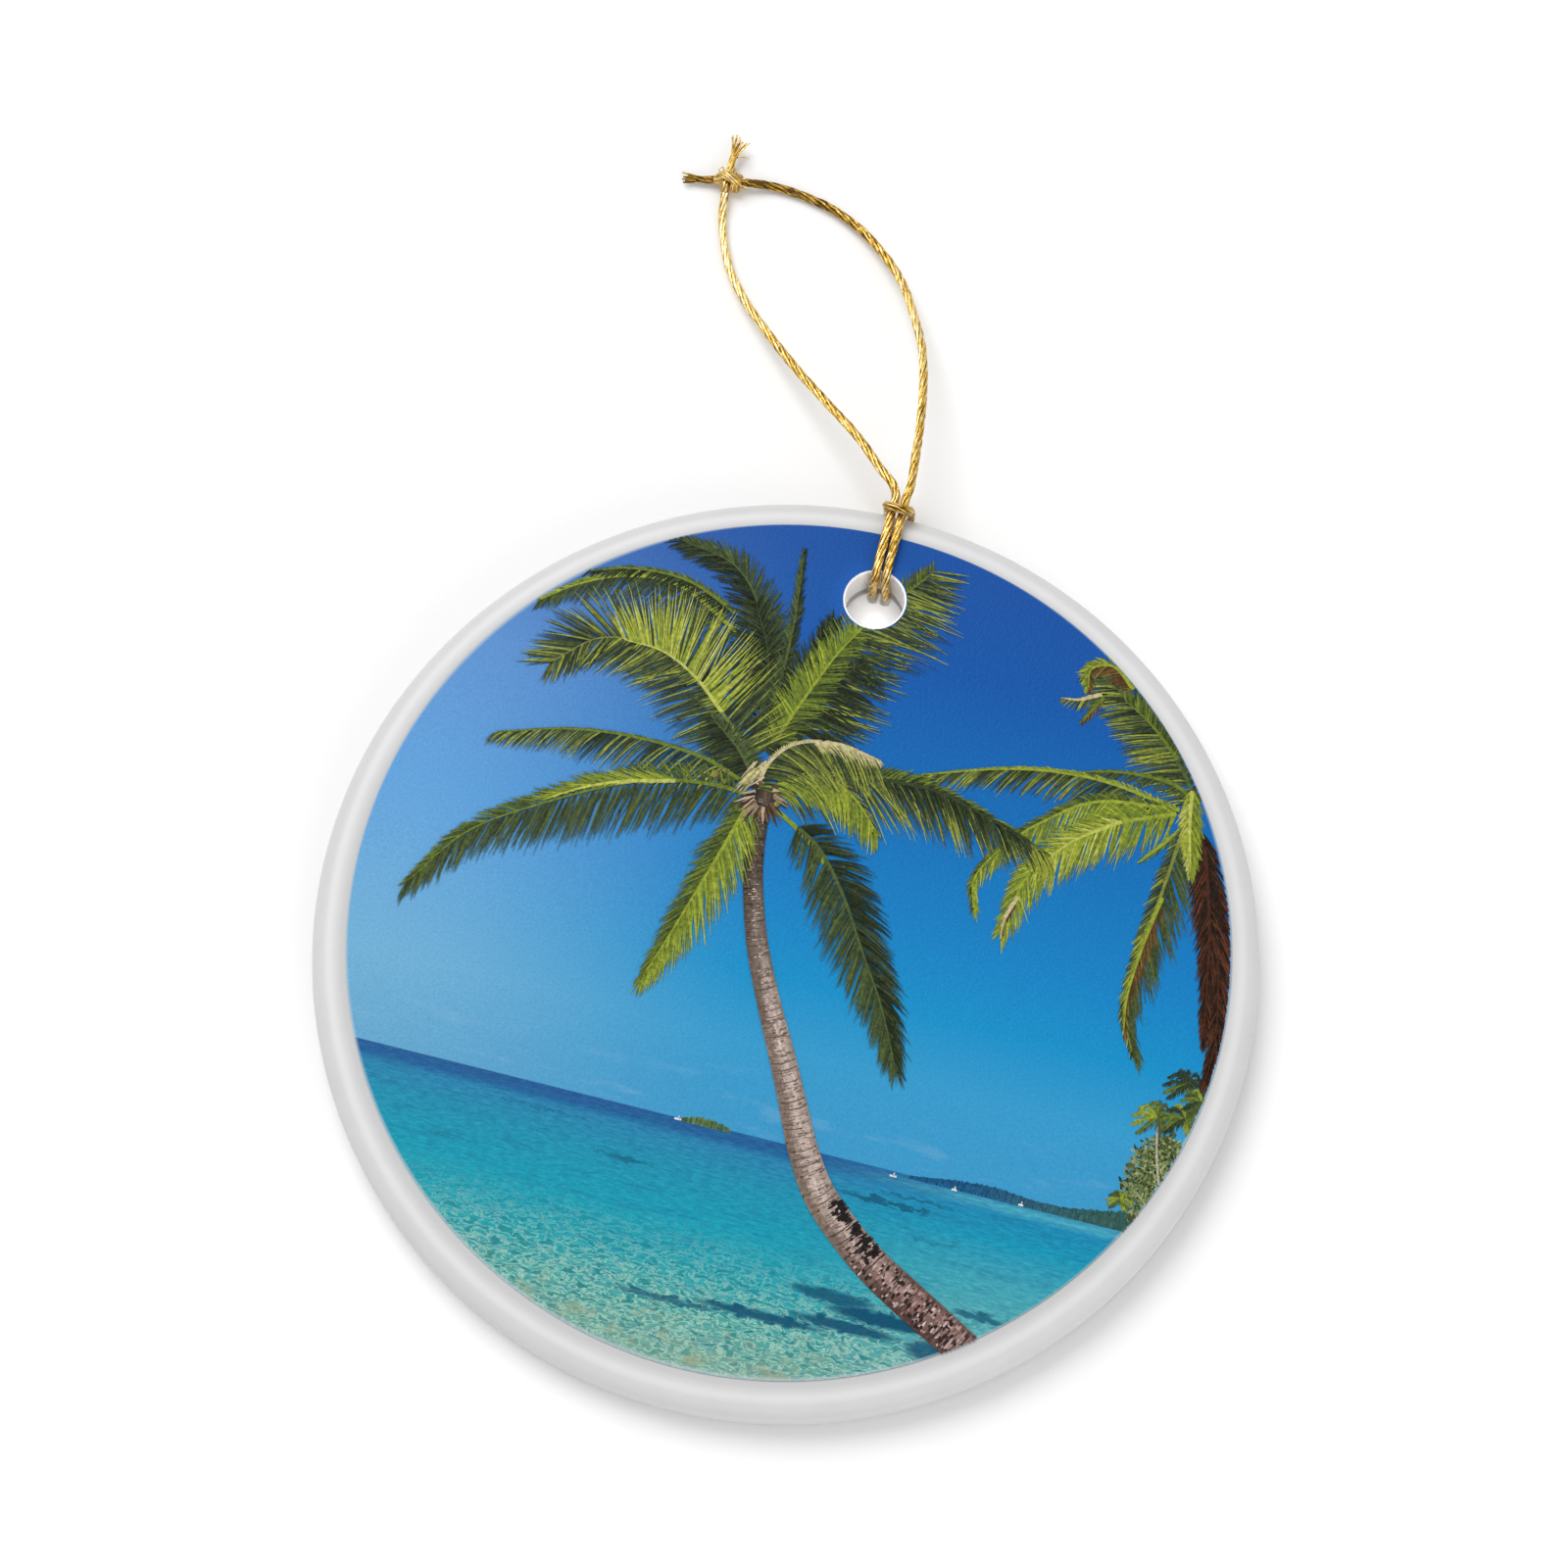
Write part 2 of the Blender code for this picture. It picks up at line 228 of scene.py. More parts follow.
SIDE_TIP = (-23.8, 24.35, 0.5)
SIDE_FAN = 0.55
FILAMENTS = 11
FILAMENT_RADIUS = 0.085 * MM
KNOT_STEP = RING_STEP * 0.6
STRAY_STEP = RING_STEP * 0.7
STRAY_RADIUS = FILAMENT_RADIUS * 0.6
STRAYS = [
    [(-20.1, 26.9, 0.8), (-19.6, 27.1, 0.9), (-19.1, 27.15, 0.75)],
    [(-20.5, 25.2, 1.0), (-21.0, 25.7, 1.15), (-21.1, 25.3, 1.0), (-20.7, 25.0, 0.8)],
    [(-20.5, 25.3, 0.9), (-20.8, 25.8, 1.0), (-21.2, 25.6, 0.8), (-20.9, 25.1, 0.7)],
]

# ---- Disc's fineness ----
DISC_STEPS = 256
BORE_STEPS = 96
EDGE_STEPS = 14
HOLDING_EDGE = 0.08 * MM  # keeps a flat face's shading flat up to its rounded edge

# ---- Glaze: its tones with its painted shade and light, and the heights in mm between which it becomes the face's ----
GLAZE_TONES = ((0.60, 0.60, 0.605), (0.655, 0.655, 0.65))
# painted shade: a darker band on the face beside the print
PAINTED_SHADE_BY_PRINT = (0.51, 0.51, 0.51)
# painted highlight along the crest of the face's rounded shoulder
PAINTED_CREST_HIGHLIGHT = (0.72, 0.72, 0.72)
# painted light: the bore made brighter than the rest of the glaze, as if lit
PAINTED_BORE_LIGHT = (0.93, 0.93, 0.93)
FACE_HEIGHTS = (1.6, 2.2)

# ---- Picture: a palm beach, in mm on the disc's face ----
HORIZON = -14.85
INK_GAP = 0.002 * MM
INK_STEP = 0.000008 * MM
INK_POINTS = 5
RIB_POINTS = 60
TRUNK_POINTS = 260
BARK_BANDS = 9
GLOSS_ROUGHNESS = 0.36
PRINT_DEPTH = 0.93  # how much of the light the lightest ink gives back
GLOSS_LEVEL = 0.07

Frond = collections.namedtuple(
    "Frond",
    "line left right count left_tones right_tones spread droop width",
    defaults=[(66, 22), 0.12, 0.17],
)

BLACK_GREEN = (0.008, 0.013, 0.006)
DARK_GREEN = (0.022, 0.034, 0.010)
DULL_GREEN = (0.060, 0.088, 0.036)
MID_GREEN = (0.10, 0.14, 0.022)
LIT_GREEN = (0.20, 0.27, 0.025)
YELLOW_GREEN = (0.40, 0.44, 0.045)
PALE_LEAF = (0.56, 0.56, 0.20)
DRY_LEAF = (0.52, 0.41, 0.29)
BROWN_LEAF = (0.13, 0.040, 0.018)
DARK_BROWN = (0.026, 0.010, 0.007)
OLIVE = (0.20, 0.19, 0.04)
FIBRE_BROWN = (0.16, 0.10, 0.05)

SHADE = (BLACK_GREEN, DARK_GREEN, DULL_GREEN)
MIXED = (BLACK_GREEN, DULL_GREEN, YELLOW_GREEN)
DEEP = (DARK_GREEN, DULL_GREEN, MID_GREEN)
LEAFY = (DARK_GREEN, MID_GREEN, LIT_GREEN)
SUNNY = (MID_GREEN, LIT_GREEN, YELLOW_GREEN)
BRIGHT = (LIT_GREEN, YELLOW_GREEN, PALE_LEAF)
PARCHED = (YELLOW_GREEN, DRY_LEAF, PALE_LEAF)
DEAD = (BLACK_GREEN, DARK_BROWN, BROWN_LEAF)
RUSTY = (DARK_GREEN, BROWN_LEAF, OLIVE)
LEAF_SHADE = [(0.3, (0.62, 0.62, 0.62)), (0.7, (1.25, 1.25, 1.25))]
BUSH_TONES = (DARK_GREEN, (0.13, 0.17, 0.06), (0.32, 0.36, 0.16))

FAR_PALM = [
    Frond([(-9.5, 22.5), (-14.5, 25.0), (-18.5, 24.9), (-22.0, 23.4), (-24.6, 21.4)],
          2.4, 1.4, 70, DEEP, SUNNY, (70, 24), 0.3),
    Frond([(-10.0, 24.0), (-14.0, 25.6), (-18.2, 25.6), (-21.5, 24.6)],
          1.8, 0.9, 46, SHADE, LEAFY, (60, 20), 0.3),
    Frond([(-6.0, 15.0), (-6.5, 20.0), (-8.2, 24.6), (-11.0, 27.7), (-15.4, 28.7)],
          3.6, 3.2, 96, SHADE, DEEP, (64, 24), 0.12),
    Frond([(-6.0, 17.0), (-6.8, 21.4), (-8.6, 25.0)], 3.0, 3.0, 56, SHADE, SHADE, (52, 40), 0.1),
    Frond([(-5.4, 14.0), (-5.3, 19.0), (-5.5, 24.5), (-6.1, 29.9)], 1.7, 1.6, 70, DEEP, SHADE, (40, 14)),
    Frond([(-4.6, 14.0), (-4.0, 18.5), (-2.6, 25.0)], 3.2, 2.8, 72, SHADE, SHADE, (50, 24), 0.1),
]
FRONDS_BEHIND_TRUNK = [
    Frond([(-4.5, 13.6), (-3.4, 17.8), (-1.6, 22.6), (0.2, 26.0), (2.6, 29.2), (3.8, 30.9)],
          2.6, 6.6, 110, LEAFY, MIXED, (78, 44), 0.04),
    Frond([(-1.4, 23.3), (0.1, 25.9), (2.2, 28.7), (3.4, 30.2)],
          0.5, 6.8, 46, LEAFY, MIXED, (72, 58), 0.02, 0.12),
    Frond([(-4.2, 13.5), (-2.9, 17.2), (-1.3, 20.4), (0.6, 22.6)],
          1.8, 5.4, 60, SHADE, SHADE, (94, 62), 0.0),
    Frond([(-4.6, 14.6), (-3.5, 17.9), (-1.8, 22.4), (-0.2, 25.4)],
          2.5, 2.4, 60, SUNNY, LEAFY, (60, 40), 0.0),
]
FRONDS_BEFORE_TRUNK = [
    Frond([(-6.2, 13.0), (-7.6, 14.7), (-10.1, 16.9), (-13.2, 19.0),
           (-16.3, 19.9), (-19.6, 19.4), (-22.4, 16.8)],
          4.6, 6.4, 124, MIXED, MIXED, (80, 34), 0.06),
    Frond([(-9.0, 16.0), (-11.6, 18.2), (-14.5, 19.6), (-17.6, 19.8)],
          1.2, 6.4, 52, MIXED, BRIGHT, (80, 52), 0.0, 0.13),
    Frond([(-5.6, 11.8), (-7.2, 13.6), (-9.6, 15.4)], 2.6, 2.0, 40, SHADE, DEEP, (80, 40), 0.3),
    Frond([(-6.4, 11.2), (-9.6, 12.2), (-14.7, 12.5), (-19.8, 11.9), (-24.8, 10.4)],
          2.7, 0.7, 104, MIXED, LEAFY, (56, 18), 0.5, 0.15),
    Frond([(-5.6, 10.2), (-8.1, 10.3), (-11.1, 9.9), (-14.7, 8.8),
           (-19.8, 6.0), (-24.9, 2.4), (-28.2, -2.4)],
          4.2, 2.3, 140, DEEP, LEAFY, (70, 20), 0.2),
    Frond([(-11.0, 9.9), (-14.5, 9.0), (-17.4, 7.8), (-20.0, 6.2)],
          0.6, 2.8, 40, BRIGHT, SUNNY, (26, 14), 0.0, 0.14),
    Frond([(-5.3, 9.4), (-6.3, 5.6), (-7.5, 1.4), (-8.6, -2.4), (-9.5, -5.2)],
          4.0, 2.5, 92, SUNNY, LEAFY, (50, 12), 0.15),
    Frond([(-1.2, 8.6), (0.8, 7.3), (3.3, 4.3), (5.8, 0.3), (7.9, -3.0), (10.0, -7.2)],
          3.9, 3.7, 112, SHADE, DEEP, (60, 16), 0.2),
    Frond([(-3.4, 11.4), (0.6, 13.0), (5.4, 14.1), (10.2, 13.3), (14.0, 12.2), (16.8, 11.2)],
          1.8, 4.8, 128, LEAFY, MIXED, (60, 20), 0.22),
    Frond([(4.0, 13.8), (8.0, 13.9), (12.0, 12.9), (15.5, 11.8)],
          0.8, 3.0, 50, SHADE, SHADE, (50, 24), 0.2, 0.15),
    Frond([(-3.6, 11.4), (-0.6, 12.9), (2.2, 11.9), (4.6, 9.6)], 1.2, 3.2, 60, MIXED, SUNNY, (60, 22), 0.3),
    Frond([(-5.0, 10.8), (-4.5, 13.1), (-3.0, 14.9), (-0.4, 15.6), (2.8, 15.3)],
          0.5, 4.9, 84, PARCHED, MIXED, (66, 30), 0.35),
    Frond([(-1.6, 15.3), (0.4, 15.7), (3.4, 15.2)], 0.35, 1.5, 30, PARCHED, PARCHED, (40, 20), 0.3, 0.12),
]
RIGHT_PALM = [
    Frond([(27.2, 17.8), (25.2, 20.4), (22.6, 23.0), (19.8, 24.9), (17.6, 26.0)],
          3.9, 3.0, 96, MIXED, DEEP, (66, 34), 0.15),
    Frond([(25.0, 20.8), (22.6, 22.9), (20.2, 24.4)], 3.4, 2.2, 40, MIXED, LEAFY, (60, 40), 0.1, 0.13),
    Frond([(20.6, 25.4), (18.8, 26.8), (17.2, 26.2), (17.3, 24.6)],
          1.4, 1.3, 40, RUSTY, SUNNY, (60, 24), 0.2),
    Frond([(18.4, 24.4), (16.9, 23.6), (15.7, 23.4)], 0.9, 0.7, 20, MIXED, PARCHED, (50, 20), 0.5, 0.13),
    Frond([(18.6, 24.2), (17.9, 22.9), (17.4, 21.9)], 0.7, 0.6, 16, RUSTY, LEAFY, (40, 20), 0.3, 0.13),
    Frond([(26.2, 18.4), (24.4, 18.9), (20.8, 18.7), (17.8, 17.9)],
          1.2, 0.5, 50, DEEP, LEAFY, (58, 20), 0.2, 0.14),
    Frond([(26.0, 16.9), (20.8, 17.7), (16.6, 17.6), (12.4, 16.8), (7.0, 15.0)],
          2.6, 0.9, 118, MIXED, SUNNY, (56, 16), 0.35),
    Frond([(25.6, 16.9), (20.0, 16.1), (16.6, 13.8), (14.1, 11.2), (12.4, 8.2), (12.8, 5.8)],
          2.3, 1.3, 96, SUNNY, LEAFY, (56, 22), 0.25),
    Frond([(25.8, 16.6), (20.8, 14.3), (17.8, 11.7), (16.0, 8.7), (15.2, 4.5)],
          3.3, 2.3, 100, SUNNY, SUNNY, (62, 24), 0.2),
    Frond([(22.0, 15.0), (18.8, 12.6), (16.6, 9.8)], 3.0, 1.8, 30, BRIGHT, BRIGHT, (50, 30), 0.2, 0.13),
    Frond([(15.8, 7.4), (15.3, 5.6), (15.3, 4.0)], 0.8, 0.5, 14, RUSTY, PARCHED, (30, 10), 0.2, 0.14),
    Frond([(26.4, 15.4), (25.2, 13.8), (24.0, 12.3)], 0.7, 0.6, 18, LEAFY, SUNNY, (40, 14), 0.1, 0.14),
    Frond([(26.6, 15.6), (26.1, 10.6), (25.5, 5.3), (25.3, 1.2), (26.5, -2.0)],
          3.9, 1.4, 104, DEEP, MIXED, (46, 16), 0.2),
    Frond([(26.2, 10.0), (25.6, 6.2), (25.3, 2.2), (25.6, -0.6)],
          2.0, 0.8, 50, RUSTY, SUNNY, (30, 12), 0.2, 0.13),
    Frond([(27.8, 15.6), (29.6, 11.2), (31.2, 6.2), (32.2, 0.8), (32.2, -2.6)],
          2.6, 2.6, 150, DEAD, DEAD, (40, 12), 0.3, 0.22),
    Frond([(28.4, 14.6), (29.9, 9.2), (30.8, 4.2), (31.4, 0.2)],
          2.0, 1.9, 90, DEAD, DEAD, (36, 10), 0.3, 0.18),
    Frond([(26.6, 18.6), (27.0, 15.9), (27.8, 12.4)], 2.0, 1.5, 50, SUNNY, BRIGHT, (40, 14), 0.2),
]
Trunk = collections.namedtuple("Trunk", "line way side width")
TRUNK = [  # x, y and width
    (-4.35, 11.0, 1.25), (-4.2, 8.5, 1.3), (-3.75, 5.0, 1.4), (-2.95, 2.0, 1.45), (-1.8, -1.2, 1.55),
    (0.0, -5.0, 1.65), (1.9, -8.6, 1.8), (3.4, -11.6, 1.9), (5.1, -15.0, 2.05), (7.0, -17.8, 2.2),
    (9.4, -20.0, 2.35), (12.0, -21.9, 2.45), (15.0, -23.6, 2.55), (18.0, -25.2, 2.5), (20.6, -26.6, 2.4),
]
FOOT_AT = 0.70  # the share of its length where the trunk turns dark
BARK_TONES = (  # under the crown, in the middle and at the foot, lit and then in shade
    ((0.10, 0.070, 0.045), (0.54, 0.43, 0.38), (0.30, 0.18, 0.16)),
    ((0.030, 0.024, 0.018), (0.20, 0.145, 0.11), (0.085, 0.042, 0.036)),
)
NUTS = ((-8.25, 11.15, 0.62), (-7.6, 11.6, 0.4), (-3.2, 10.0, 0.45))
BOATS = ((-4.3, 0.05, 0.5), (11.8, 0.3, 0.5), (16.3, 0.2, 0.4), (21.2, 0.1, 0.35))
SHORE_PALMS = [
    (30.9, -3.4, 1.6), (29.3, -6.3, 1.7), (31.3, -5.9, 1.6), (32.2, -4.4, 1.4), (28.0, -12.8, 0.9),
]
BUSH = (30.4, -11.2, 2.5, 3.7)

# ---- Sky and sea: (place, colour), up from the horizon and down from it ----
LEFT_SKY = [
    (0.00, (0.130, 0.380, 0.605)),
    (0.14, (0.165, 0.425, 0.660)),
    (0.42, (0.118, 0.355, 0.695)),
    (0.68, (0.115, 0.290, 0.630)),
    (0.97, (0.045, 0.120, 0.400)),
]
RIGHT_SKY = [
    (0.00, (0.045, 0.310, 0.570)),
    (0.14, (0.037, 0.320, 0.595)),
    (0.25, (0.008, 0.272, 0.572)),
    (0.38, (0.007, 0.212, 0.535)),
    (0.58, (0.006, 0.150, 0.460)),
    (0.80, (0.006, 0.095, 0.385)),
    (0.97, (0.010, 0.085, 0.360)),
]
OPEN_SEA = [
    (0.00, (0.020, 0.100, 0.285)),
    (0.045, (0.018, 0.115, 0.305)),
    (0.075, (0.026, 0.215, 0.405)),
    (0.20, (0.016, 0.270, 0.415)),
    (0.42, (0.008, 0.315, 0.425)),
    (0.60, (0.022, 0.335, 0.385)),
    (0.78, (0.085, 0.355, 0.330)),
    (0.95, (0.190, 0.350, 0.285)),
]
SHALLOW_SEA = [
    (0.00, (0.018, 0.180, 0.370)),
    (0.035, (0.075, 0.370, 0.500)),
    (0.07, (0.012, 0.240, 0.430)),
    (0.18, (0.010, 0.290, 0.450)),
    (0.34, (0.060, 0.350, 0.440)),
    (0.60, (0.095, 0.370, 0.400)),
    (0.95, (0.200, 0.370, 0.340)),
]

SKY_GRAIN = [(0.3, (0.90, 0.91, 0.93)), (0.7, (1.09, 1.08, 1.06))]
CLOUD = (0.42, 0.58, 0.74)
SWELL = (0.010, 0.165, 0.305)
CHOP = [(0.30, (0.62, 0.78, 0.84)), (0.50, (0.8, 1, 1)), (0.70, (1.3, 1.25, 1.2))]
BRIGHT_RIPPLE = (0.50, 0.72, 0.56)
HOLLOW = (0.012, 0.185, 0.205)
SAND = (0.30, 0.35, 0.22)
DEEP_WATER = (0.004, 0.080, 0.155)
FADED_EDGE = (0.50, 0.60, 0.66)

# ---- Dark patches in the water: (centre, half widths, depth) ----
DARK_WATER = [
    ((9.6, -24.7), (3.8, 0.60), 0.90),
    ((13.4, -25.5), (4.8, 0.70), 1.00),
    ((-1.8, -27.8), (4.6, 0.30), 0.75),
    ((5.0, -27.3), (5.6, 0.46), 0.95),
    ((11.0, -26.6), (4.8, 0.52), 0.95),
    ((17.4, -26.9), (2.3, 1.00), 0.90),
    ((20.2, -23.6), (2.4, 0.35), 0.80),
    ((12.0, -17.2), (4.4, 0.26), 0.80),
    ((14.0, -16.5), (3.6, 0.16), 0.55),
    ((15.8, -19.2), (2.6, 0.12), 0.35),
    ((-7.4, -18.7), (2.8, 0.22), 0.65),
    ((-14.0, -16.6), (4.5, 0.14), 0.35),
    ((-20.0, -20.2), (2.4, 0.16), 0.30),
]


def lengths_along(route):
    """How far along the route each of its points is."""
    return np.concatenate([[0], np.cumsum(np.linalg.norm(np.diff(route, axis=0), axis=1))])


def resampled(line, count):
    """The line's points again, evenly spaced and that many."""
    reached = lengths_along(line)
    wanted = np.linspace(0, reached[-1], count)
    return np.stack([np.interp(wanted, reached, line[:, axis]) for axis in range(line.shape[1])], axis=1)


def headings(line):
    """The line's direction at each of its points."""
    way = np.gradient(line, axis=0)
    return way / np.maximum(np.linalg.norm(way, axis=1), 1e-9)[:, None]


def smooth_route(points, spacing):
    """Evenly spaced points on a smooth curve through the route's own points."""
    places = [Vector(point) for point in points]
    places = [2 * places[0] - places[1]] + places + [2 * places[-1] - places[-2]]
    fine = [places[1]]
    for index in range(1, len(places) - 2):
        before, start, end, after = places[index - 1 : index + 3]
        linear = end - before
        square = 2 * before - 5 * start + 4 * end - after
        cube = 3 * start - before - 3 * end + after
        for step in range(1, CURVE_SAMPLES + 1):
            t = step / CURVE_SAMPLES
            fine.append(0.5 * (2 * start + linear * t + square * t**2 + cube * t**3))
    fine = np.array(fine)
    return resampled(fine, max(2, round(lengths_along(fine)[-1] / spacing)) + 1)


def frames_along(route):
    """Two directions square to the route at each of its points, turning as little as they can."""
    tangents = headings(route)
    across = np.cross(tangents[0], (0.3, 0.2, 1.0))
    across /= np.linalg.norm(across)
    sides = []
    for tangent in tangents:
        across = across - tangent * (across @ tangent)
        across /= np.linalg.norm(across)
        sides.append(across)
    sides = np.array(sides)
    return sides, np.cross(tangents, sides)


class Tubes:
    """Tubes gathered into one mesh. Each corner knows its strand and its place along it."""

    def __init__(self):
        self.points = []
        self.faces = []
        self.threads = []
        self.count = 0

    def skin(self, rings, around, along):
        """One closed tube from its rings of points. around and along place each ring's corners."""
        number, sides = rings.shape[:2]
        first = self.count
        self.points.append(rings.reshape(-1, 3))
        self.count += number * sides
        for ring in range(number - 1):
            here = first + ring * sides
            low, high = along[ring] / MM, along[ring + 1] / MM
            for side in range(sides):
                after = (side + 1) % sides
                self.faces.append((here + side, here + after, here + sides + after, here + sides + side))
                start, end = around[side], around[side + 1]
                self.threads.append(((start, low), (end, low), (end, high), (start, high)))
        for ring, order in ((0, range(sides - 1, -1, -1)), (number - 1, range(sides))):
            self.faces.append(tuple(first + ring * sides + side for side in order))
            self.threads.append(tuple((around[side], along[ring] / MM) for side in order))

    def finish(self, name, material):
        """The tubes as one object."""
        mesh = bpy.data.meshes.new(name)
        mesh.from_pydata(np.concatenate(self.points).tolist(), [], self.faces)
        thread = mesh.uv_layers.new(name="thread")
        flat = [value for corners in self.threads for corner in corners for value in corner]
        thread.data.foreach_set("uv", flat)
        mesh.shade_smooth()
        mesh.materials.append(material)
        return add_object(name, mesh)


def wavering(along, size, chance):
    """A slow wander about 1, as large as size."""
    total = np.zeros(len(along))
    for length in WANDER_LENGTHS:
        total += np.sin(along / length * math.pi + chance.uniform(0, 2 * math.pi))
    return 1 + size * total / len(WANDER_LENGTHS)


def add_thread(tubes, route, radii, seed=0, start=0.0, sides=THREAD_SIDES):
    """A plain round thread along the route."""
    across, up = frames_along(route)
    angles = np.linspace(0, 2 * math.pi, sides, endpoint=False)
    ways = across[:, None] * np.cos(angles)[None, :, None] + up[:, None] * np.sin(angles)[None, :, None]
    around = [seed + side / sides for side in range(sides + 1)]
    tubes.skin(route[:, None] + ways * radii[:, None, None], around, lengths_along(route) + start * MM)


def add_twisted(tubes, route, seed, share=None, start=0.0):
    """A cord of twisted strands along the route, as the one skin that shows of them."""
    chance = random.Random(seed)
    along = lengths_along(route)
    share = np.ones(len(route)) if share is None else share
    across, up = frames_along(route)
    columns = []
    around = []
    for strand in range(STRANDS):
        ring = STRAND_RING * share * wavering(along, RING_WANDER, chance)
        thick = STRAND_RADIUS * share * wavering(along, STRAND_WANDER, chance)
        for side in range(STRAND_SIDES):
            off = (side / STRAND_SIDES - 0.5) * 2 * math.pi / STRANDS
            reach = ring * math.cos(off) + np.sqrt(np.maximum(thick**2 - (ring * math.sin(off)) ** 2, 0))
            angle = 2 * math.pi * (along / LAY_LENGTH + strand / STRANDS) + off
            way = across * np.cos(angle)[:, None] + up * np.sin(angle)[:, None]
            columns.append(route + way * reach[:, None])
            around.append(seed + strand + side / STRAND_SIDES)
    around.append(seed + STRANDS)
    tubes.skin(np.stack(columns, axis=1), around, along + start * MM)


def half_hitch():
    """Half of the hitch, from where it leaves for the loop to the middle of its crossing turn.

    x is sideways, y is from the bore's axis towards the rim and z is up from the disc's back.
    """
    near = CORD_RADIUS + STRAND_GAP / 2
    low = near + BORE_SPREAD
    wide = near + COLLAR_SPREAD
    wall = BORE_RADIUS
    rim = DISC_RADIUS - BORE_OFFSET
    outside = rim + RIM_GAP + COLLAR_SLACK + CORD_RADIUS
    crossing = rim - CROSSING_INSET
    top = FILM_TOP + CORD_GAP + CORD_RADIUS
    over = top + CORD_DIAMETER
    under = -(CORD_GAP + CORD_RADIUS)
    bend = CORD_RADIUS * BEND_SHARE

    def run(offset):
        """How far towards the rim the bore's wall lets a strand go."""
        return math.sqrt((BORE_RADIUS - CORD_GAP - CORD_RADIUS) ** 2 - offset**2)

    return [
        (near, rim + EXIT_REACH, top),
        (near, rim, top),
        (near, (rim + wall) / 2, top),
        (near, wall + CORD_RADIUS, top),
        (near, run(near) + bend, top - bend),
        (near, run(near), DISC_THICKNESS - CORD_RADIUS),
        ((near + low) / 2, run(low), DISC_THICKNESS / 2),
        (low, run(low), CORD_RADIUS),
        (low, wall - CORD_RADIUS, under + bend),
        (low, wall + CORD_RADIUS, under),
        (wide, (wall + rim) / 2, under),
        (wide, rim, under),
        (wide, outside, CORD_RADIUS),
        (wide, outside, DISC_THICKNESS / 2),
        (wide, outside - CORD_RADIUS, DISC_THICKNESS),
        (wide * 0.95, rim, top + CORD_RADIUS * 0.6),
        (wide * 0.5, crossing, over),
        (0, crossing, over + CORD_RADIUS * 0.2),
    ]


def leg_places(points):
    """A leg's points in the frame."""
    drop = FOLD_HEIGHT - CORD_RADIUS - FLOOR_GAP
    return [FOLD_PLACE + Vector((x * MM, y * MM, (share - 1) * drop)) for x, y, share in points]


def cord_places():
    """The whole cord's points, from the knot by the left leg and the hitch and back by the right."""
    half = half_hitch()
    left = [ON_DISC @ Vector((-x, BORE_OFFSET + y, z)) for x, y, z in half]
    right = [ON_DISC @ Vector((x, BORE_OFFSET + y, z)) for x, y, z in reversed(half[:-1])]
    return leg_places(LEFT_LEG)[::-1] + left + right + leg_places(RIGHT_LEG)


def add_object(name, data):
    """A new object in the scene."""
    obj = bpy.data.objects.new(name, data)
    bpy.context.scene.collection.objects.link(obj)
    return obj


def make_camera():
    """The camera, and no shift or depth of field."""
    data = bpy.data.cameras.new("camera")
    data.lens = CAMERA_LENS
    data.sensor_width = CAMERA_SENSOR
    data.clip_start, data.clip_end = CAMERA_REACH
    camera = add_object("camera", data)
    forward = (CAMERA_AIM - CAMERA_PLACE).normalized()
    right = forward.cross(CAMERA_UP).normalized()
    above = right.cross(forward)
    turn = Matrix((right, above, -forward)).transposed().to_4x4()
    camera.matrix_world = Matrix.Translation(CAMERA_PLACE) @ turn
    bpy.context.scene.camera = camera


def aim_light(light, direction):
    """Puts a light out in a direction from the ornament, facing it."""
    towards = Vector(direction).normalized()
    light.location = towards * LIGHT_DISTANCE
    light.rotation_mode = "QUATERNION"
    light.rotation_quaternion = towards.to_track_quat("Z", "Y")


def make_soft_light(name, direction, size, power):
    """A round soft light."""
    data = bpy.data.lights.new(name, "AREA")
    data.shape = "DISK"
    data.size = size
    data.energy = power
    aim_light(add_object(name, data), direction)


def make_lights():
    """A soft key from the upper left, a weak fill across from it, a white surrounding and the bore's lamp."""
    world = bpy.data.worlds.new("studio")
    world.use_nodes = True
    surround = world.node_tree.nodes["Background"]
    surround.inputs["Color"].default_value = (1, 1, 1, 1)
    surround.inputs["Strength"].default_value = SURROUND_STRENGTH
    bpy.context.scene.world = world
    make_soft_light("key", KEY_DIRECTION, KEY_SIZE, KEY_POWER)
    make_soft_light("fill", FILL_DIRECTION, FILL_SIZE, FILL_POWER)
    data = bpy.data.lights.new("down_the_bore", "SPOT")
    data.spot_size = BORE_LIGHT_CONE
    data.spot_blend = BORE_LIGHT_BLEND
    data.shadow_soft_size = BORE_LIGHT_SIZE
    data.energy = BORE_LIGHT_POWER
    add_object("down_the_bore", data).location = (0, BORE_OFFSET, BORE_LIGHT_HEIGHT)


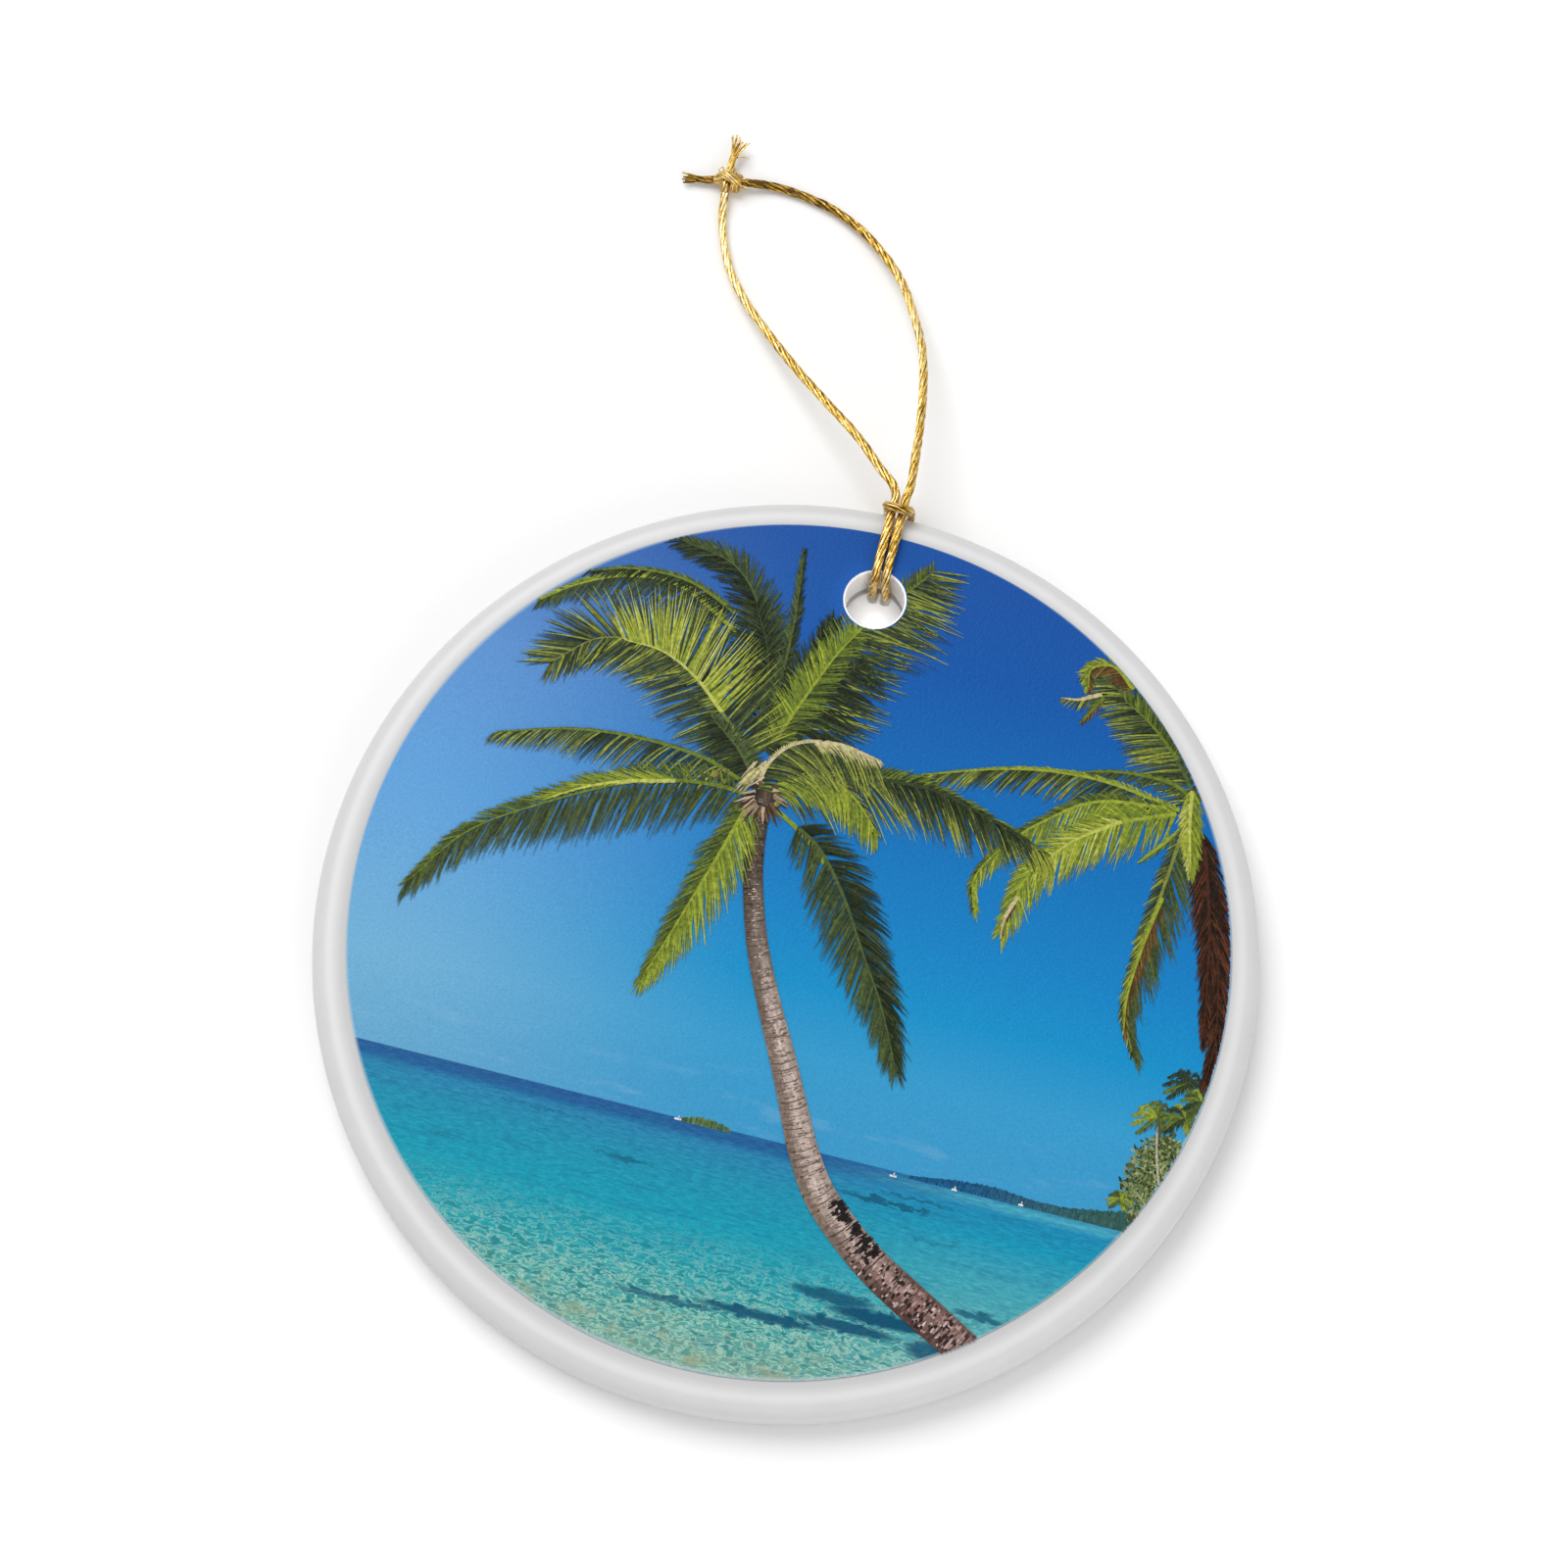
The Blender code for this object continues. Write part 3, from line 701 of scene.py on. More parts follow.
class Nodes:
    """Short ways to put a material's nodes together."""

    def __init__(self, name):
        self.material = bpy.data.materials.new(name)
        self.material.use_nodes = True
        self.tree = self.material.node_tree
        self.shader = self.tree.nodes["Principled BSDF"]

    def link(self, value, socket):
        """A number, a colour or another node's output goes into the socket."""
        if hasattr(value, "node"):
            self.tree.links.new(value, socket)
        elif isinstance(value, (tuple, list)) and len(value) == 3 and len(socket.default_value) == 4:
            socket.default_value = (*value, 1)
        else:
            socket.default_value = value

    def set(self, name, value):
        """One of the shader's own sockets."""
        self.link(value, self.shader.inputs[name])

    def math(self, operation, first, second=0.0, third=None):
        """One operation on two or three values."""
        node = self.tree.nodes.new("ShaderNodeMath")
        node.operation = operation
        self.link(first, node.inputs[0])
        self.link(second, node.inputs[1])
        if third is not None:
            self.link(third, node.inputs[2])
        return node.outputs[0]

    def plus(self, first, second):
        """The two values together."""
        return self.math("ADD", first, second)

    def minus(self, first, second):
        """The first value less the second."""
        return self.math("SUBTRACT", first, second)

    def times(self, first, second):
        """The two values multiplied."""
        return self.math("MULTIPLY", first, second)

    def from_centre(self, x, y, centre):
        """How far x and y are from a centre."""
        dx = self.minus(x, centre[0])
        dy = self.minus(y, centre[1])
        return self.math("SQRT", self.plus(self.times(dx, dx), self.times(dy, dy)))

    def off_middle(self, value):
        """How far the value is from a half, either way."""
        return self.math("ABSOLUTE", self.minus(value, 0.5))

    def step(self, value, low, high):
        """0 at low and 1 at high, smooth between them."""
        node = self.tree.nodes.new("ShaderNodeMapRange")
        node.interpolation_type = "SMOOTHSTEP"
        self.link(value, node.inputs["Value"])
        node.inputs["From Min"].default_value = low
        node.inputs["From Max"].default_value = high
        return node.outputs["Result"]

    def mix(self, share, first, second, blend="MIX"):
        """Two colours mixed, with that share of the second."""
        node = self.tree.nodes.new("ShaderNodeMix")
        node.data_type = "RGBA"
        node.blend_type = blend
        node.clamp_factor = True
        self.link(share, node.inputs["Factor"])
        first_colour, second_colour = (socket for socket in node.inputs if socket.type == "RGBA")
        self.link(first, first_colour)
        self.link(second, second_colour)
        return next(socket for socket in node.outputs if socket.type == "RGBA")

    def ramp(self, value, stops):
        """Colours by value, from (place, colour) pairs between 0 and 1."""
        node = self.tree.nodes.new("ShaderNodeValToRGB")
        elements = node.color_ramp.elements
        elements[0].position = stops[0][0]
        elements[0].color = (*stops[0][1], 1)
        elements[1].position = stops[-1][0]
        elements[1].color = (*stops[-1][1], 1)
        for place, colour in stops[1:-1]:
            element = elements.new(place)
            element.color = (*colour, 1)
        self.link(value, node.inputs[0])
        return node.outputs[0]

    def tinted(self, colour, second):
        """A colour times another."""
        return self.mix(1.0, colour, second, "MULTIPLY")

    def vector(self, x, y, z=0.0):
        """A place from its three numbers."""
        node = self.tree.nodes.new("ShaderNodeCombineXYZ")
        for socket, value in zip(node.inputs, (x, y, z)):
            self.link(value, socket)
        return node.outputs[0]

    def stretched(self, x, y, x_scale, y_scale, z=0.0):
        """A place whose x and y are each scaled."""
        return self.vector(self.times(x, x_scale), self.times(y, y_scale), z)

    def noise(self, vector, scale, detail=2.0, roughness=0.5):
        """Soft noise between 0 and 1."""
        node = self.tree.nodes.new("ShaderNodeTexNoise")
        self.link(vector, node.inputs["Vector"])
        node.inputs["Scale"].default_value = scale
        node.inputs["Detail"].default_value = detail
        node.inputs["Roughness"].default_value = roughness
        return node.outputs[0]

    def place(self):
        """The point's own x, y and z in millimetres, in the frame at rest."""
        source = self.tree.nodes.new("ShaderNodeTexCoord")
        scaled = self.tree.nodes.new("ShaderNodeVectorMath")
        scaled.operation = "SCALE"
        scaled.inputs["Scale"].default_value = 1 / MM
        self.tree.links.new(source.outputs["Object"], scaled.inputs[0])
        split = self.tree.nodes.new("ShaderNodeSeparateXYZ")
        self.tree.links.new(scaled.outputs[0], split.inputs[0])
        return scaled.outputs[0], split.outputs[0], split.outputs[1], split.outputs[2]

    def uv(self, name):
        """The two numbers of a UV map."""
        source = self.tree.nodes.new("ShaderNodeUVMap")
        source.uv_map = name
        split = self.tree.nodes.new("ShaderNodeSeparateXYZ")
        self.tree.links.new(source.outputs[0], split.inputs[0])
        return split.outputs[0], split.outputs[1]

    def bump(self, height, distance, strength):
        """The shader's surface, raised and sunk by a height."""
        node = self.tree.nodes.new("ShaderNodeBump")
        node.inputs["Distance"].default_value = distance
        node.inputs["Strength"].default_value = strength
        self.link(height, node.inputs["Height"])
        self.tree.links.new(node.outputs[0], self.shader.inputs["Normal"])


def gold_thread():
    """Twisted metallic thread: filaments with painted highlights, flecks of painted dark reflection, and
    shade in the grooves between strands.

    Its tone drifts along the cord, from pale by the knot to the olive of the last stretch.
    """
    nodes = Nodes("gold_thread")
    around, along = nodes.uv("thread")
    grain = nodes.noise(nodes.stretched(around, along, 8.0, 0.75), 1.0, 3.0, 0.6)
    # Flecks of painted dark reflection and painted highlight along the filaments.
    painted_reflection_flecks = nodes.noise(nodes.stretched(around, along, 2.2, 1.5, 7.0), 1.0, 2.0, 0.6)
    groove = nodes.step(nodes.off_middle(nodes.math("FRACT", around)), 0.26, 0.48)
    drift = nodes.ramp(
        nodes.math("DIVIDE", along, CORD_TONE_LENGTH),
        [(place, (tone, tone, tone)) for place, tone in CORD_TONES],
    )
    tone = nodes.plus(nodes.times(grain, 0.60), nodes.times(painted_reflection_flecks, 0.40))
    tone = nodes.plus(tone, nodes.times(nodes.minus(drift, 0.5), 0.34))
    tone = nodes.minus(tone, nodes.times(groove, 0.09))
    nodes.set("Base Color", nodes.ramp(nodes.math("MULTIPLY_ADD", tone, 1.35, -0.17), GOLD_TONES_AND_GLINTS))
    nodes.set("Metallic", 0.88)
    nodes.set("Roughness", 0.25)
    nodes.bump(grain, 0.05 * MM, 0.9)
    return nodes.material


def make_cord(material):
    """The whole cord as one piece, and the route it follows."""
    route = smooth_route(cord_places(), RING_STEP)
    tubes = Tubes()
    add_twisted(tubes, route, 3)
    return tubes.finish("gold_cord", material), route


def by_fold(points):
    """Points given from the fold's axis in mm, with their heights above the floor."""
    return [Vector((FOLD_PLACE.x + x * MM, FOLD_PLACE.y + y * MM, z * MM)) for x, y, z in points]


def add_fan(tubes, stem, tip, fan, seed, tone_at):
    """A frayed end: threads that leave the twist and spread out to their own tips."""
    chance = random.Random(seed)
    start = by_fold([stem[-2], stem[-1]])
    end = by_fold([tip])[0]
    way = (end - start[1]).normalized()
    across = way.cross(Vector((0, 0, 1))).normalized()
    for index in range(FILAMENTS):
        place = (index + 0.5) / FILAMENTS * 2 - 1
        spread = across * place * fan * MM * chance.uniform(0.75, 1.1)
        lift = Vector((0, 0, chance.uniform(-0.16, 0.16) * MM))
        root = start[1] + across * place * CORD_RADIUS * 0.6 + lift * 0.6
        reach = chance.uniform(-0.35, 0.2) * MM
        middle = root.lerp(end, 0.5) + spread * 0.45 + lift
        last = end + spread + way * reach + lift
        last.z = max(last.z, FILAMENT_RADIUS + FLOOR_GAP)
        route = smooth_route([start[0].lerp(root, 0.5), root, middle, last], RING_STEP)
        radii = FILAMENT_RADIUS * np.linspace(1.15, 0.75, len(route))
        add_thread(tubes, route, radii, seed + index, tone_at)


def make_knot(material):
    """The overhand knot at the loop's end."""
    tubes = Tubes()
    for seed, points in ((20, UP_THROUGH), (30, SIDE_THROUGH), (40, CORE_TURN)):
        add_twisted(tubes, smooth_route(by_fold(points), KNOT_STEP), seed, start=KNOT_TONE_AT)
    middle = by_fold([WRAP_PLACE])[0]
    steps = np.linspace(0, 2 * math.pi * WRAP_TURNS, WRAP_STEPS * WRAP_TURNS + 1)
    drift = (steps / steps[-1] - 0.5) * WRAP_WIDTH * MM
    deep, high = (radius * MM for radius in WRAP_RADII)
    helix = [
        middle + Vector((shift, math.cos(angle) * deep, math.sin(angle) * high))
        for angle, shift in zip(steps, drift)
    ]
    route = smooth_route(helix, KNOT_STEP)
    add_twisted(tubes, route, 50, np.full(len(route), WRAP_SHARE), KNOT_TONE_AT)
    return tubes.finish("overhand_knot", material)


def make_tail(name, stem, tip, fan, seed, tone_at, material):
    """One cut end of the cord, which loses its twist and frays."""
    tubes = Tubes()
    route = smooth_route(by_fold(stem), KNOT_STEP)
    add_twisted(tubes, route, seed, np.linspace(0.95, 0.8, len(route)), tone_at)
    add_fan(tubes, stem, tip, fan, seed, tone_at)
    return tubes.finish(name, material)


def make_strays(material):
    """The few threads that have come loose by the knot."""
    tubes = Tubes()
    for index, points in enumerate(STRAYS):
        route = smooth_route(by_fold(points), STRAY_STEP)
        add_thread(tubes, route, np.full(len(route), STRAY_RADIUS), 70 + index)
    return tubes.finish("stray_threads", material)


def quarter(centre, width, height, start, end):
    """Points of an ellipse's arc in XZ, from one angle to another."""
    angles = np.linspace(start, end, EDGE_STEPS + 1)
    return [(centre[0] + width * math.cos(a), centre[1] + height * math.sin(a)) for a in angles]


def turned(name, profile, steps):
    """A solid of revolution about Z from (radius, height) points."""
    mesh = bpy.data.meshes.new(name)
    shape = bmesh.new()
    corners = [shape.verts.new((radius, 0, height)) for radius, height in profile]
    for first, second in zip(corners, corners[1:]):
        shape.edges.new((first, second))
    shape.to_mesh(mesh)
    shape.free()
    obj = add_object(name, mesh)
    screw = obj.modifiers.new("turn", "SCREW")
    screw.steps = steps
    screw.render_steps = steps
    screw.use_merge_vertices = True
    screw.merge_threshold = 0.000001
    screw.use_smooth_shade = True
    return obj


def settle_mesh(obj):
    """The object's modifiers become its mesh."""
    graph = bpy.context.evaluated_depsgraph_get()
    mesh = bpy.data.meshes.new_from_object(obj.evaluated_get(graph))
    obj.modifiers.clear()
    obj.data = mesh


def make_disc(material):
    """The glazed disc, with its rounded face edge and the bore for the cord."""
    face = DISC_RADIUS - FACE_EDGE_WIDTH
    profile = [(0, DISC_THICKNESS), (face - HOLDING_EDGE, DISC_THICKNESS)]
    shoulder = (face, DISC_THICKNESS - FACE_EDGE_HEIGHT)
    profile += quarter(shoulder, FACE_EDGE_WIDTH, FACE_EDGE_HEIGHT, math.pi / 2, 0)
    profile += quarter((REST_EDGE, BACK_EDGE_RADIUS), BACK_EDGE_RADIUS, BACK_EDGE_RADIUS, 0, -math.pi / 2)
    profile += [(REST_EDGE - HOLDING_EDGE, 0), (0, 0)]
    disc = turned("glazed_disc", profile, DISC_STEPS)
    mouth = BORE_RADIUS + BORE_EDGE_RADIUS
    edge = BORE_EDGE_RADIUS
    over = DISC_THICKNESS / 2
    hole = [(0, DISC_THICKNESS + over), (mouth, DISC_THICKNESS + over)]
    hole += quarter((mouth, DISC_THICKNESS - edge), edge, edge, math.pi / 2, math.pi)
    hole += quarter((mouth, edge), edge, edge, math.pi, 3 * math.pi / 2)
    hole += [(mouth, -over), (0, -over)]
    cutter = turned("bore_cutter", hole, BORE_STEPS)
    cutter.location = (0, BORE_OFFSET, 0)
    bore = disc.modifiers.new("bore", "BOOLEAN")
    bore.operation = "DIFFERENCE"
    bore.solver = "EXACT"
    bore.object = cutter
    weighted = disc.modifiers.new("flat_faces", "WEIGHTED_NORMAL")
    weighted.keep_sharp = True
    bpy.context.view_layer.update()
    settle_mesh(disc)
    bpy.data.objects.remove(cutter)
    disc.data.transform(ON_DISC)
    disc.data.materials.clear()
    disc.data.materials.append(material)
    return disc


def glaze():
    """White glaze: satin and clouded, with painted shade in a band beside the print, a painted highlight on
    the shoulder's crest, and painted light in the bore.

    Only the bore's tone shows on the back.
    """
    nodes = Nodes("white_glaze")
    place, x, y, z = nodes.place()
    cloud = nodes.noise(place, 0.35, 3.0)
    fine = nodes.noise(place, 3.5, 2.0)
    body = nodes.mix(cloud, *GLAZE_TONES)
    out = nodes.from_centre(x, y, (0.0, 0.0))
    in_front = nodes.step(z, *FACE_HEIGHTS)
    # Painted shade in a band on the face beside the print.
    shade_band = nodes.times(nodes.step(out, SHOULDER_MM - 0.1, SHOULDER_MM - 0.9), in_front)
    body = nodes.mix(nodes.times(shade_band, 0.85), body, PAINTED_SHADE_BY_PRINT)
    # Painted highlight along the crest of the face's rounded edge.
    off_crest = nodes.math("ABSOLUTE", nodes.minus(out, SHOULDER_MM + 0.15))
    crest_highlight = nodes.times(nodes.step(off_crest, 0.5, 0.05), in_front)
    body = nodes.mix(nodes.times(crest_highlight, 0.6), body, PAINTED_CREST_HIGHLIGHT)
    # Painted light in the bore, brighter than the rest of the glaze.
    bore = nodes.from_centre(x, y, (0.0, BORE_MM))
    in_bore = nodes.step(bore, FILM_HOLE / MM + 0.15, FILM_HOLE / MM - 0.05)
    nodes.set("Base Color", nodes.mix(in_bore, body, PAINTED_BORE_LIGHT))
    nodes.set("Roughness", nodes.math("MULTIPLY_ADD", fine, 0.10, 0.42))
    nodes.set("IOR", 1.5)
    nodes.bump(nodes.plus(nodes.times(cloud, 0.7), nodes.times(fine, 0.12)), 0.25 * MM, 0.4)
    return nodes.material


def smooth_line(points, count):
    """A smooth flat line through points given in mm, as that many points."""
    flat = [(point[0], point[1], 0) for point in points]
    return resampled(smooth_route(flat, 0.05), count)[:, :2]


def leftwards(way):
    """Flat directions, each turned a quarter to the left."""
    return np.stack([-way[:, 1], way[:, 0]], axis=1)


def straight(start, lead, count):
    """Points from the start to the lead's end."""
    return start + lead * np.linspace(0, 1, count)[:, None]


def on_paper(line):
    """Whether each point is on the film and not over its hole."""
    out = np.hypot(line[:, 0] - FILM_SHIFT[0] / MM, line[:, 1] - FILM_SHIFT[1] / MM) > FILM_MM - 0.06
    hole = np.hypot(line[:, 0], line[:, 1] - BORE_MM) < FILM_HOLE / MM + 0.03
    return ~(out | hole)


class Ink:
    """Painted strokes, each laid a hair above the one before it."""

    def __init__(self):
        self.points = []
        self.colours = []
        self.faces = []
        self.cells = []
        self.count = 0
        self.strokes = 0

    def dab(self, line, widths, tone):
        """A stroke of one tone. Its widths go point by point, or are one for them all."""
        count = len(line)
        self.lay(line, np.full(count, widths, float), np.tile(tone, (count, 1)))

    def lay(self, line, widths, colours):
        """One stroke along a line, where it is on the film. line, widths and colours go point by point."""
        fine = np.concatenate([line, widths[:, None], colours], axis=1)
        fine = resampled(fine, 6 * len(line))
        kept = on_paper(fine)
        breaks = np.flatnonzero(np.diff(kept.astype(int)))
        for run in np.split(np.arange(len(fine)), breaks + 1):
            if kept[run[0]] and len(run) > 2:
                self.ribbon(resampled(fine[run], len(line)))

    def ribbon(self, rows):
        """A stroke that is all on the film."""
        line, widths, colours = rows[:, :2], rows[:, 2], rows[:, 3:6]
        side = leftwards(headings(line)) * widths[:, None] / 2
        height = np.full(len(line), (FILM_TOP + INK_GAP + self.strokes * INK_STEP) / MM)
        for edge, share in ((line + side, 0.0), (line - side, 1.0)):
            self.points.append(np.column_stack([edge, height]) * MM)
            self.colours.append(colours)
            along = np.linspace(0, 1, len(line))
            own = np.full(len(line), self.strokes)
            self.cells.append(np.column_stack([np.full(len(line), share), along, own]))
        first = self.count
        for index in range(len(line) - 1):
            left, right = first + index, first + len(line) + index
            self.faces.append((left, right, right + 1, left + 1))
        self.count += 2 * len(line)
        self.strokes += 1

    def finish(self, name, material):
        """The strokes as one object. Each stroke has its own cell in the bake's map."""
        mesh = bpy.data.meshes.new(name)
        mesh.from_pydata(np.concatenate(self.points).tolist(), [], self.faces)
        mesh.transform(ON_DISC)
        paint = mesh.attributes.new("paint", "FLOAT_COLOR", "POINT")
        colours = np.concatenate(self.colours)
        paint.data.foreach_set("color", np.column_stack([colours, np.ones(len(colours))]).ravel())
        cells = np.concatenate(self.cells)
        across = math.ceil(math.sqrt(self.strokes))
        row, column = np.divmod(cells[:, 2], across)
        places = np.column_stack([column + 0.2 + 0.6 * cells[:, 0], row + 0.12 + 0.76 * cells[:, 1]])
        layer = mesh.uv_layers.new(name="OFBake")
        corners = np.zeros(len(mesh.loops), int)
        mesh.loops.foreach_get("vertex_index", corners)
        layer.data.foreach_set("uv", (places[corners] / across).ravel())
        mesh.materials.append(material)
        return add_object(name, mesh)


def blended(first, second, share):
    """A colour between two, or each of several between them."""
    share = np.asarray(share, float)[..., None]
    return np.array(first) * (1 - share) + np.array(second) * share


def tone_of(tones, level):
    """A colour from a frond's dark, middle and light ones, by a level from 0 to 1."""
    if level < 0.5:
        return blended(tones[0], tones[1], level * 2)
    return blended(tones[1], tones[2], level * 2 - 1)


def paint_leaflets(ink, frond, chance, size, root, way, place, under):
    """A pair of leaflets, one on each side of the rib. Those under are shorter and darker."""
    out = np.linspace(0, 1, INK_POINTS)
    for turn, reach, tones in ((1, frond.left, frond.left_tones), (-1, frond.right, frond.right_tones)):
        swell = (0.6 + 0.4 * min(1.0, place / 0.18)) * (1 - 0.60 * place**3)
        length = reach * swell * chance.uniform(0.82, 1.06) * (0.9 if under else 1.0)
        angle = frond.spread[0] + (frond.spread[1] - frond.spread[0]) * place**1.2
        angle = math.radians(angle + chance.gauss(0, 5)) * turn
        ahead, aside = math.cos(angle), math.sin(angle)
        lead = np.array([way[0] * ahead - way[1] * aside, way[0] * aside + way[1] * ahead])
        line = root + lead * (length * out)[:, None]
        line[:, 1] -= frond.droop * length * out**2
        width = frond.width * size * (1 - 0.86 * out**1.6) * chance.uniform(0.75, 1.15)
        level = chance.betavariate(1.3, 1.5) * (0.35 if under else 1.0)
        base = tone_of(tones, level * 0.85)
        tip = tone_of(tones, min(1.0, level + 0.25))
        ink.lay(line, width, blended(base, tip, out))


def paint_frond(ink, frond, chance, size=1.0):
    """A palm frond: leaflets along both sides of a rib, shorter at its base and its tip."""
    rib = smooth_line(frond.line, RIB_POINTS)
    way = headings(rib)
    for under in (True, False):
        for index in range(frond.count):
            place = (index + chance.uniform(0.2, 0.8)) / frond.count
            if chance.random() < (0.10 if under else 0.22):
                continue
            spot = min(int(place * RIB_POINTS), RIB_POINTS - 1)
            paint_leaflets(ink, frond, chance, size, rib[spot], way[spot], place, under)
    left, right = frond.left_tones, frond.right_tones
    tones = left if sum(left[1]) > sum(right[1]) else right
    ink.dab(rib, np.linspace(0.30, 0.07, RIB_POINTS) * size, blended(tones[1], tones[2], 0.35))


def paint_stem(ink, points, width, colour):
    """A bare stalk or thin trunk."""
    ink.dab(smooth_line(points, 14), width, colour)


def paint_shore_palm(ink, x, y, size, chance):
    """A far palm's head."""
    for index in range(11):
        angle = math.radians(-50 + index * 280 / 10 + chance.uniform(-8, 8))
        tip = (x + math.cos(angle) * size, y + math.sin(angle) * size * 0.8 - size * 0.25)
        middle = (x + math.cos(angle) * size * 0.55, y + math.sin(angle) * size * 0.7)
        tones = chance.choice([SHADE, DEEP, LEAFY, SUNNY])
        reach = size * 0.26
        frond = Frond([(x, y), middle, tip], reach, reach, 18, tones, tones, (60, 25), 0.5, 0.12)
        paint_frond(ink, frond, chance, 0.6)


def paint_bush(ink, chance):
    """The trees on the near shore, as many small dabs, light where the sun is on them."""
    x, y, wide, high = BUSH
    for level in np.linspace(HORIZON + 0.2, y + high * 0.9, 26):
        half = wide * math.sqrt(max(0.0, 1 - ((level - y) / high) ** 2)) * chance.uniform(0.8, 1.0)
        line = np.array([(x - half, level), (x, level + 0.1), (x + half, level)])
        ink.dab(line, (0.1, 0.42, 0.42), tone_of(DEEP, chance.random()))
    for index in range(1300):
        angle = chance.uniform(0, 2 * math.pi)
        out = math.sqrt(chance.random())
        spot = np.array([x + wide * out * math.cos(angle), y + high * out * math.sin(angle)])
        if spot[1] < HORIZON + 0.3:
            continue
        lead = np.array([chance.uniform(-0.4, 0.4), chance.uniform(-0.1, 0.45)])
        ink.dab(straight(spot, lead, 3), (0.08, 0.20, 0.04), tone_of(BUSH_TONES, chance.random()))


def paint_hills(ink, chance):
    """The far shore and the islet, as upright dabs side by side, and four small boats."""
    for x in np.arange(13.0, 31.0, 0.12):
        rise = 0.15 + 0.45 * min(1, (x - 13) / 3) + 0.25 * max(0, math.sin((x - 16) * 0.55))
        rise += max(0, x - 24) * 0.17
        tone = blended((0.012, 0.105, 0.25), (0.04, 0.12, 0.10), min(1, max(0, (x - 17) / 10)))
        line = np.array([(x, HORIZON - 0.2), (x, HORIZON - 0.1 + rise * chance.uniform(0.85, 1.0))])
        ink.dab(resampled(line, 4), 0.18, tone * chance.uniform(0.85, 1.15))
    for x in np.arange(-4.1, -0.45, 0.07):
        rise = 0.62 * math.sqrt(max(0.0, 1 - ((x + 2.2) / 1.9) ** 2))
        tone = blended((0.03, 0.10, 0.07), (0.16, 0.24, 0.07), chance.random())
        line = np.array([(x, HORIZON - 0.15), (x, HORIZON - 0.1 + rise * chance.uniform(0.7, 1.05))])
        ink.dab(resampled(line, 4), 0.12, tone)
    for x, low, wide in BOATS:
        y = HORIZON - low
        hull = np.array([(x - wide / 2, y), (x + wide / 2, y)])
        ink.dab(resampled(hull, 4), 0.14, (0.75, 0.75, 0.75))
        mast = np.array([(x, y), (x + 0.06, y + 0.26)])
        ink.dab(resampled(mast, 4), 0.07, (0.7, 0.7, 0.7))


def trunk_course():
    """The trunk's middle line, its directions along and across, and its width, point by point."""
    line = smooth_line(TRUNK, TRUNK_POINTS)
    way = headings(line)
    widths = smooth_line([(index, point[2]) for index, point in enumerate(TRUNK)], TRUNK_POINTS)[:, 1]
    return Trunk(line, way, leftwards(way), widths)


def paint_bark(ink, trunk, chance):
    """The trunk's lit and shaded sides, in patches along it."""
    down = np.linspace(0, 1, TRUNK_POINTS)
    pale = np.clip((down - 0.12) * 3.2, 0, 1)
    foot = np.clip((down - FOOT_AT) * 7, 0, 1)
    lit, shade = (blended(blended(high, middle, pale), low, foot) for high, middle, low in BARK_TONES)
    for band in range(BARK_BANDS):
        place = (band + 0.5) / BARK_BANDS - 0.5
        light = math.exp(-(((place + 0.12) / 0.33) ** 2))
        path = trunk.line - trunk.side * (place * trunk.width)[:, None]
        for start in range(0, TRUNK_POINTS - 7, 7):
            piece = slice(start, start + 9)
            patch = blended(shade[piece], lit[piece], light * chance.uniform(0.7, 1.2))
            ink.lay(path[piece], trunk.width[piece] / BARK_BANDS * 1.5, patch * chance.uniform(0.8, 1.15))


def paint_mark(ink, trunk, share, across, length, thick, tone, lean=0.0):
    """A short mark across the trunk, at a share of its length and of its width."""
    spot = min(int(share * TRUNK_POINTS), TRUNK_POINTS - 3)
    width = trunk.width[spot]
    centre = trunk.line[spot] + trunk.side[spot] * across * width
    lead = (trunk.side[spot] + trunk.way[spot] * lean) * length * width
    shape = np.array([0.4, 1.0, 0.9, 0.3]) * thick
    ink.dab(centre + lead * np.linspace(-0.5, 0.5, 4)[:, None], shape, tone)


def paint_mottling(ink, trunk, chance):
    """Light and dark marks all over the bark."""
    for index in range(900):
        share = chance.uniform(0.02, 0.99)
        across = chance.uniform(-0.44, 0.44)
        edge = 1.0 if across < 0.2 else 0.7
        high = chance.random() < 0.5 and across > -0.2
        light = blended((0.62, 0.52, 0.47), (0.46, 0.34, 0.30), share)
        tone = light if high else np.array((0.17, 0.12, 0.095))
        tone = tone * edge * (0.45 if share < 0.16 else 1.0)
        length, thick = chance.uniform(0.06, 0.26), chance.uniform(0.05, 0.13)
        paint_mark(ink, trunk, share, across, length, thick, tone, chance.uniform(-0.3, 0.3))


def paint_rings(ink, trunk, chance):
    """The broken rings that old fronds left, wider apart and heavier towards the foot."""
    at = 0.0
    while at < TRUNK_POINTS - 3:
        share = at / TRUNK_POINTS
        spot = int(at)
        across = np.linspace(-1, 1, 7)[:, None]
        half = trunk.width[spot] / 2
        bow = trunk.way[spot] * (0.16 * half * (1 - across**2))
        arc = trunk.line[spot] + trunk.side[spot] * (across * half * 0.97) + bow
        dark = 0.25 if share > FOOT_AT or share < 0.2 else 0.75
        tone = blended((0.030, 0.018, 0.015), (0.20, 0.145, 0.12), chance.uniform(0, 1) * dark + 0.1)
        thick = (0.04 + 0.05 * share + 0.16 * max(0.0, share - FOOT_AT)) * chance.uniform(0.5, 1.5)
        first, last = sorted(chance.sample(range(7), 2)) if chance.random() < 0.65 else (0, 6)
        if last - first > 1:
            ink.dab(arc[first : last + 1], thick, tone)
        at += (1.5 + 2.4 * share) * chance.uniform(0.7, 1.3)


